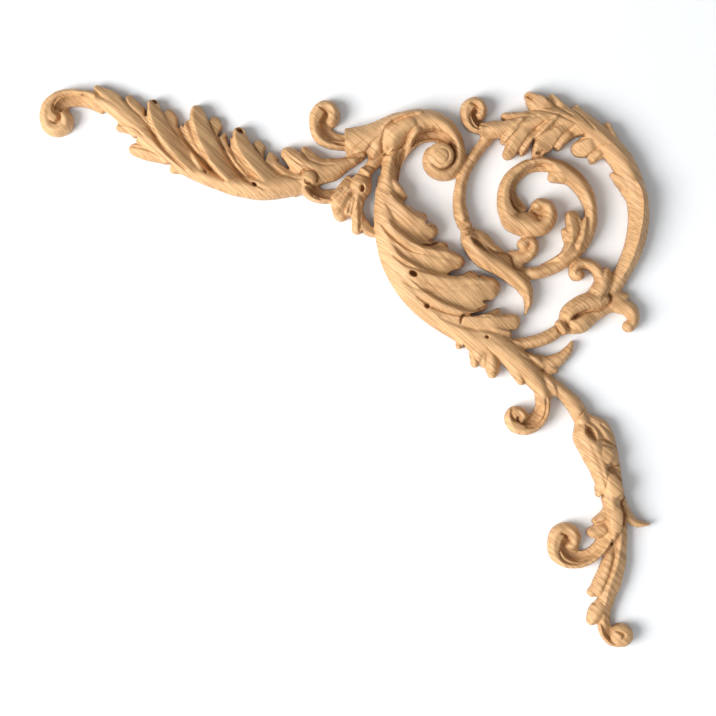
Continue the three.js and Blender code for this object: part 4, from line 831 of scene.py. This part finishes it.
def boss_solid(bm, boss):
    """Makes a button or a ball: a low dome on a round wall."""
    right, down, radius, crest, wall = boss
    x, z = place(right, down)
    circle = bmesh.ops.create_circle(
        bm, cap_ends=True, radius=radius * SQUARE, segments=BOSS_SIDES)["verts"]
    face = circle[0].link_faces[0]
    for vert in circle:
        vert.co = (x + vert.co.x, SAW_ALLOWANCE, z + vert.co.y)
    front = bmesh.ops.extrude_face_region(bm, geom=[face], use_keep_orig=True)["geom"]
    for vert in only(BMVert, front):
        vert.co.y = -height_of(crest * wall)
    top = only(BMFace, front)[0]
    centre = Vector((x, 0, z))
    turns = [k / BOSS_RINGS * math.pi / 2 for k in range(BOSS_RINGS)]
    for before, turn in zip(turns[:-1], turns[1:]):
        bmesh.ops.inset_region(bm, faces=[top], thickness=0, use_even_offset=False)
        shrink = math.cos(turn) / math.cos(before)
        for vert in top.verts:
            flat = Vector((vert.co.x, 0, vert.co.z)) - centre
            vert.co = centre + flat * shrink
            vert.co.y = -height_of(crest * (wall + (1 - wall) * math.sin(turn)))


# Finishing the surface.

EYE_REACH = 1.5         # the square of the distance in radii at which an eye's wall ends
EYE_LEVEL = 0.15        # and the one up to which its floor is level
EYE_RISE = 14           # how steeply its wall rises between them, on the scale of the crests
LOWEST_CUT = 3          # the crest below which the veining tool and the gouge cut nothing
CUT_MARGIN = 6          # squares round a line within which it can cut
GROOVE_SAMPLES = 60     # a line with more points is thinned to no fewer than this
NOTCH_SAMPLES = 120
NOTCH_REACH = 1.35      # where a notch's wall starts, as a share of its half width
NOTCH_WALL = 0.6        # and how wide that wall is
NOTCH_FLOOR = SAW_ALLOWANCE * 0.6
TOOL_MARK = 0.00007     # height of the gouge's waves, in metres
FIRST_SANDING, LAST_SANDING = 0.5, 0.4      # how far vertices move to between their neighbours


def link(name, data):
    """A new object at the origin with a mesh, a lamp or a camera for its data."""
    obj = bpy.data.objects.new(name, data)
    bpy.context.scene.collection.objects.link(obj)
    return obj


def mesh_of(bm, name):
    """Turns what was made into a new mesh."""
    mesh = bpy.data.meshes.new(name)
    bm.to_mesh(mesh)
    bm.free()
    return mesh


def joined(pieces, name):
    """Makes one object of several."""
    whole = pieces[0]
    with bpy.context.temp_override(active_object=whole, object=whole, selected_objects=pieces,
                                   selected_editable_objects=pieces):
        bpy.ops.object.join()
    whole.name = whole.data.name = name
    return whole


def apply_modifiers(obj):
    """Gives the object the mesh that its modifiers make of it."""
    bpy.context.view_layer.update()
    made = obj.evaluated_get(bpy.context.evaluated_depsgraph_get())
    old, mesh = obj.data, bpy.data.meshes.new_from_object(made)
    obj.modifiers.clear()
    obj.data = mesh
    bpy.data.meshes.remove(old)


def read_points(mesh):
    """A mesh's vertices as rows of x, y and z."""
    points = np.empty(len(mesh.vertices) * 3)
    mesh.vertices.foreach_get("co", points)
    return points.reshape(-1, 3)


def write_points(mesh, points):
    """Moves a mesh's vertices."""
    mesh.vertices.foreach_set("co", points.ravel())
    mesh.update()


def drill_eyes(points):
    """Presses the oval eyes into the front, down to their floors."""
    for right, down, long, short, turn, floor in EYES:
        x, z = place(right, down)
        across, up = points[:, 0] - x, points[:, 2] - z
        cos, sin = math.cos(math.radians(turn)), math.sin(math.radians(turn))
        u = (across * cos - up * sin) / (long * SQUARE)
        v = (across * sin + up * cos) / (short * SQUARE)
        away = u * u + v * v
        inside = away < EYE_REACH
        ceiling = height_of(floor + EYE_RISE * np.maximum(away[inside] - EYE_LEVEL, 0) ** 2)
        points[inside, 1] = np.maximum(points[inside, 1], -ceiling)


def beside_line(points, stations, level, samples):
    """The points near a line and in front of a level: their numbers, how far they are from the
    line, and the sizes that the stations give there."""
    stations = np.array(stations, float)
    line, numbers = curve_through(stations)
    step = max(len(line) // samples, 1)
    line, numbers = line[::step], numbers[::step]
    x, z = place(line[:, 0], line[:, 1])
    margin = CUT_MARGIN * SQUARE
    near = ((points[:, 0] > x.min() - margin) & (points[:, 0] < x.max() + margin)
            & (points[:, 2] > z.min() - margin) & (points[:, 2] < z.max() + margin)
            & (points[:, 1] < level))
    index = np.nonzero(near)[0]
    gap = np.hypot(points[index, 0, None] - x, points[index, 2, None] - z)
    at = numbers[gap.argmin(1)]
    sizes = [np.interp(at, np.arange(len(stations)), column) for column in stations.T[2:]]
    return index, gap.min(1), sizes


def cut_grooves(points):
    """Cuts the veining tool's lines: each runs along a curve, wide and deep as its stations say."""
    level = -height_of(LOWEST_CUT)
    for stations in GROOVES:
        index, gap, (width, depth) = beside_line(points, stations, level, GROOVE_SAMPLES)
        cut = height_of(depth) * smooth(1 - gap / (width * SQUARE))
        points[index, 1] = np.minimum(points[index, 1] + cut, level)


def cut_notches(points):
    """Pushes the front back past the plane of the wall along each notch. The saw then opens it."""
    for stations in NOTCHES:
        index, gap, (half,) = beside_line(points, stations, NOTCH_FLOOR, NOTCH_SAMPLES)
        half = half * SQUARE
        share = smooth((half * NOTCH_REACH - gap) / (half * NOTCH_WALL))
        points[index, 1] += (NOTCH_FLOOR - points[index, 1]) * share


def tool_marks(points):
    """The slight unevenness that a hand gouge and sandpaper leave: waves 4 to 12 mm long."""
    x, z = points[:, 0] * 1000, points[:, 2] * 1000
    wave = (np.sin(x * 0.61 + 2.1 * np.sin(z * 0.23))
            + np.sin(z * 0.53 + 1.7 * np.sin(x * 0.19) + 1.3)
            + 0.6 * np.sin((x + z) * 1.13 + 1.1 * np.sin((x - z) * 0.31)))
    lowest = height_of(LOWEST_CUT)
    points[:, 1] += wave * TOOL_MARK * smooth((-points[:, 1] - lowest) / lowest)


def sand(bm, factor):
    """Evens the surface out, as sandpaper does."""
    bmesh.ops.smooth_vert(
        bm, verts=bm.verts, factor=factor, use_axis_x=True, use_axis_y=True, use_axis_z=True)


def saw_flat(bm):
    """Saws the back off flat in the plane of the wall, and closes it."""
    cut = bmesh.ops.bisect_plane(
        bm, geom=bm.verts[:] + bm.edges[:] + bm.faces[:], plane_co=(0, 0, 0), plane_no=(0, 1, 0),
        clear_outer=True)["geom_cut"]
    bmesh.ops.triangle_fill(bm, edges=only(BMEdge, cut), use_beauty=True, normal=(0, 1, 0))
    bmesh.ops.recalc_face_normals(bm, faces=bm.faces)


def roughed_out(voxel):
    """The carving as one surface, joined from all the forms of the drawing."""
    pieces = []
    for make, forms in ((stroke_solid, STROKES), (boss_solid, BOSSES)):
        for form in forms:
            bm = bmesh.new()
            make(bm, form)
            pieces.append(link("form", mesh_of(bm, "form")))
    carving = joined(pieces, "carving")
    remesh = carving.modifiers.new("join", "REMESH")
    remesh.mode = "VOXEL"
    remesh.voxel_size = voxel
    apply_modifiers(carving)
    return carving


def finish_cutting(mesh, smoothing):
    """Sands the surface, cuts the finer forms into it, and saws the back flat."""
    bm = bmesh.new()
    bm.from_mesh(mesh)
    for _ in range(smoothing):
        sand(bm, FIRST_SANDING)
    bm.to_mesh(mesh)
    points = read_points(mesh)
    drill_eyes(points)
    cut_grooves(points)
    cut_notches(points)
    tool_marks(points)
    write_points(mesh, points)
    bm.clear()
    bm.from_mesh(mesh)
    sand(bm, LAST_SANDING)
    saw_flat(bm)
    bm.to_mesh(mesh)
    bm.free()


def thin_out(obj, most):
    """Brings an object down to the most triangles that it may have."""
    obj.data.calc_loop_triangles()
    thin = obj.modifiers.new("thin", "DECIMATE")
    thin.ratio = min(most / len(obj.data.loop_triangles), 1)
    apply_modifiers(obj)


# The materials.

GRAIN_LEAN = math.radians(7)    # how far the rings lean into the block
RING_DRIFT = 0.004              # how far they wander, in metres
# The noises are scaled along the grain, into the block and across the grain.
DRIFT_SCALE = (9, 60, 60)
BROAD_SCALE = (6, 34, 34)
STREAK_SCALE = (14, 130, 820)
PORE_SCALE = (200, 600, 3200)
BUMP_DEPTH = 0.00012
TONED_WOOD = (0.80, 0.51, 0.26, 1)
PORE_COLOUR = (0.30, 0.17, 0.08, 1)


class Nodes:
    """A material's nodes, added and joined by short calls."""

    def __init__(self, name):
        self.material = bpy.data.materials.new(name)
        self.material.use_nodes = True
        self.tree = self.material.node_tree
        self.tree.nodes.clear()

    def add(self, kind, inputs=None, **values):
        """A new node, with each of its inputs set or joined to another node's output."""
        node = self.tree.nodes.new(kind)
        for key, value in values.items():
            setattr(node, key, value)
        for key, value in (inputs or {}).items():
            if isinstance(value, bpy.types.NodeSocket):
                self.tree.links.new(value, node.inputs[key])
            else:
                node.inputs[key].default_value = value
        return node

    def maths(self, operation, *values):
        """The result of an operation on one or two values."""
        return self.add("ShaderNodeMath", dict(enumerate(values)), operation=operation).outputs[0]

    def mapped(self, coords, **inputs):
        """Coordinates that are turned or scaled."""
        return self.add("ShaderNodeMapping", {"Vector": coords, **inputs}).outputs[0]

    def noise(self, coords, scale, detail, roughness=0.5):
        """A noise with its own scale along each axis."""
        return self.add("ShaderNodeTexNoise", {
            "Vector": self.mapped(coords, Scale=scale), "Scale": 1.0, "Detail": detail,
            "Roughness": roughness}).outputs[0]

    def ramp(self, value, *stops):
        """A grey that follows the value through stops of (position, grey)."""
        node = self.add("ShaderNodeValToRGB", {0: value})
        elements = node.color_ramp.elements
        for k, (position, grey) in enumerate(stops):
            element = elements[k] if k < 2 else elements.new(position)
            element.position = position
            element.color = (grey, grey, grey, 1)
        return node.outputs[0]

    def mix(self, share, first, second):
        """A colour between the two."""
        sockets = {0: share, 6: first, 7: second}
        return self.add("ShaderNodeMix", sockets, data_type="RGBA").outputs[2]


def oak_material(settings):
    """Bare sanded oak: grain that runs through the block, with pores and slow colour changes."""
    nodes = Nodes("oak")
    maths, ramp, mix = nodes.maths, nodes.ramp, nodes.mix
    early, late_wood = (*settings.wood_light, 1), (*settings.wood_dark, 1)
    coords = nodes.add("ShaderNodeTexCoord").outputs["Object"]
    # X along the grain, Y into the block, Z across the grain.
    turned = nodes.mapped(coords, Rotation=(0, -settings.grain_angle, 0))
    leaning = nodes.mapped(turned, Rotation=(GRAIN_LEAN, 0, 0))
    drift = nodes.noise(leaning, DRIFT_SCALE, 3.0)
    streaks = nodes.noise(leaning, STREAK_SCALE, 3.0, roughness=0.6)
    pores = ramp(nodes.noise(leaning, PORE_SCALE, 1.0), (0.60, 0.0), (0.70, 1.0))
    broad = nodes.noise(leaning, BROAD_SCALE, 2.0)

    across = nodes.add("ShaderNodeSeparateXYZ", {0: leaning}).outputs["Z"]
    bent = maths("ADD", across, maths("MULTIPLY", maths("SUBTRACT", drift, 0.5), RING_DRIFT))
    rings = maths("FRACT", maths("MULTIPLY", bent, 1 / settings.ring))
    late = ramp(rings, (0.0, 0.0), (0.45, 0.1), (0.82, 0.8), (0.93, 0.5), (1.0, 0.0))

    grain = mix(maths("MULTIPLY", late, ramp(broad, (0.3, 0.1), (0.7, 0.55))), early, late_wood)
    streaked = mix(ramp(streaks, (0.40, 0.0), (0.62, 0.85)), grain, late_wood)
    toned = mix(ramp(broad, (0.35, 0.0), (0.65, 0.22)), streaked, TONED_WOOD)
    pored = mix(maths("MULTIPLY", pores, 0.35), toned, PORE_COLOUR)
    lift = maths("SUBTRACT", maths("MULTIPLY", streaks, 0.4), maths("MULTIPLY", pores, 0.6))
    height = maths("SUBTRACT", lift, maths("MULTIPLY", late, 0.5))
    bump = nodes.add("ShaderNodeBump", {
        "Height": height, "Strength": 0.35, "Distance": BUMP_DEPTH})
    rough = ramp(streaks, (0.3, settings.roughness - 0.05), (0.7, settings.roughness + 0.08))
    shader = nodes.add("ShaderNodeBsdfPrincipled", {
        "Base Color": pored, "Roughness": rough, "Normal": bump.outputs[0],
        "Specular IOR Level": 0.35})
    nodes.add("ShaderNodeOutputMaterial", {"Surface": shader.outputs[0]})
    return nodes.material


def wall_material(settings):
    """A matt pale wall that is seen only from the front."""
    nodes = Nodes("wall")
    matt = nodes.add("ShaderNodeBsdfDiffuse", {"Color": (*settings.wall, 1)})
    clear = nodes.add("ShaderNodeBsdfTransparent")
    behind = nodes.add("ShaderNodeNewGeometry").outputs["Backfacing"]
    mixed = nodes.add("ShaderNodeMixShader", {0: behind, 1: matt.outputs[0], 2: clear.outputs[0]})
    nodes.add("ShaderNodeOutputMaterial", {"Surface": mixed.outputs[0]})
    return nodes.material


# The operators.

WALL_Y = 0.0006         # just behind the plane of the back
WALL_TOP, WALL_FOOT = 2.0, -0.42
FLOOR_BEND = 0.25       # radius in which the wall rounds into the floor
BEND_STEPS = 12
FLOOR_FRONT = -4.0
WALL_SIDE = 3.0
LAMP_OFFSET = Vector((-1.9, -1.75, -0.6))
LAMP_SIZE = 1.9
SKY_COLOUR = (0.93, 0.97, 1, 1)
PICTURE_SHIFT = 0.5     # squares that the camera stands right of the paper's middle


class OBJECT_OT_corner_applique(bpy.types.Operator):
    """Carves the applique: the strokes joined, drilled, veined, sanded and sawn flat behind"""

    bl_idname = "object.corner_applique"
    bl_label = "Corner Applique"

    def execute(self, context):
        settings = context.scene.applique
        carving = roughed_out(settings.voxel)
        finish_cutting(carving.data, settings.smoothing)
        thin_out(carving, settings.triangles)
        carving.data.shade_smooth()
        carving.data.materials.append(oak_material(settings))
        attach(carving, "root")
        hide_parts(NODE)
        return {"FINISHED"}


class SCENE_OT_applique_stage(bpy.types.Operator):
    """Puts up the pale wall and floor, the lights and the camera"""

    bl_idname = "scene.applique_stage"
    bl_label = "Applique Stage"

    def execute(self, context):
        settings = context.scene.applique_stage
        self.put_up_wall(settings)
        self.hang_lights(context, settings)
        self.set_camera(context, settings)
        return {"FINISHED"}

    def put_up_wall(self, settings):
        """A wall just behind the back that rounds into a floor in front of it."""
        turns = np.linspace(0, math.pi / 2, BEND_STEPS + 1)[1:]
        profile = [(WALL_Y, WALL_TOP), (WALL_Y, WALL_FOOT)]
        profile += [(WALL_Y - FLOOR_BEND * (1 - math.cos(a)), WALL_FOOT - FLOOR_BEND * math.sin(a))
                    for a in turns]
        profile += [(FLOOR_FRONT, WALL_FOOT - FLOOR_BEND)]
        bm = bmesh.new()
        verts = [bm.verts.new((-WALL_SIDE, y, z)) for y, z in profile]
        edges = [bm.edges.new(pair) for pair in zip(verts[:-1], verts[1:])]
        swept = bmesh.ops.extrude_edge_only(bm, edges=edges)["geom"]
        for vert in only(BMVert, swept):
            vert.co.x = WALL_SIDE
        # Every face looks to the front or up.
        for face in bm.faces:
            face.normal_update()
            if face.normal.y > 0 or face.normal.z < -1e-6:
                face.normal_flip()
        wall = link("wall", mesh_of(bm, "wall"))
        wall.data.shade_smooth()
        wall.data.materials.append(wall_material(settings))
        wall.visible_shadow = False
        wall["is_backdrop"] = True

    def hang_lights(self, context, settings):
        """A soft key light from the lower left, and even light from all round."""
        target = (CAD_LOW + CAD_HIGH) / 2
        key = bpy.data.lights.new("key", "AREA")
        key.energy = settings.key
        key.shape = "DISK"
        key.size = LAMP_SIZE
        lamp = link("key", key)
        lamp.location = target + LAMP_OFFSET
        lamp.rotation_euler = (target - lamp.location).to_track_quat("-Z", "Y").to_euler()
        world = bpy.data.worlds.new("studio")
        world.use_nodes = True
        background = world.node_tree.nodes["Background"].inputs
        background["Color"].default_value = SKY_COLOUR
        background["Strength"].default_value = settings.sky
        context.scene.world = world

    def set_camera(self, context, settings):
        """A long lens straight in front, framed as the photograph is."""
        camera = bpy.data.cameras.new("camera")
        camera.lens = settings.lens
        camera.sensor_width = 36
        camera.clip_end = 20
        x, z = place(PICTURE_SQUARES / 2 + PICTURE_SHIFT, PICTURE_SQUARES / 2)
        eye = link("camera", camera)
        eye.location = (x, -PICTURE_SQUARES * SQUARE * camera.lens / camera.sensor_width, z)
        eye.rotation_euler = (math.pi / 2, 0, 0)
        context.scene.camera = eye
        context.scene.view_settings.view_transform = "Standard"


class VIEW3D_PT_corner_applique(bpy.types.Panel):
    """Lists what makes the applique and its stage"""

    bl_idname = "VIEW3D_PT_corner_applique"
    bl_label = "Corner Applique"
    bl_space_type = "VIEW_3D"
    bl_region_type = "UI"
    bl_category = "Applique"

    def draw(self, context):
        for settings, operator in ((context.scene.applique, OBJECT_OT_corner_applique),
                                   (context.scene.applique_stage, SCENE_OT_applique_stage)):
            box = self.layout.box()
            for name in settings.__annotations__:
                box.prop(settings, name)
            box.operator(operator.bl_idname)


CLASSES = (AppliqueSettings, StageSettings, OBJECT_OT_corner_applique, SCENE_OT_applique_stage,
           VIEW3D_PT_corner_applique)


def register():
    """Adds the settings, the operators and the panel to Blender."""
    for cls in CLASSES:
        bpy.utils.register_class(cls)
    bpy.types.Scene.applique = PointerProperty(type=AppliqueSettings)
    bpy.types.Scene.applique_stage = PointerProperty(type=StageSettings)


def unregister():
    """Takes them out again."""
    del bpy.types.Scene.applique_stage
    del bpy.types.Scene.applique
    for cls in reversed(CLASSES):
        bpy.utils.unregister_class(cls)


def main():
    """Sets the stage and carves the applique."""
    register()
    bpy.ops.scene.applique_stage()
    bpy.ops.object.corner_applique()


if __name__ == "__main__":
    main()
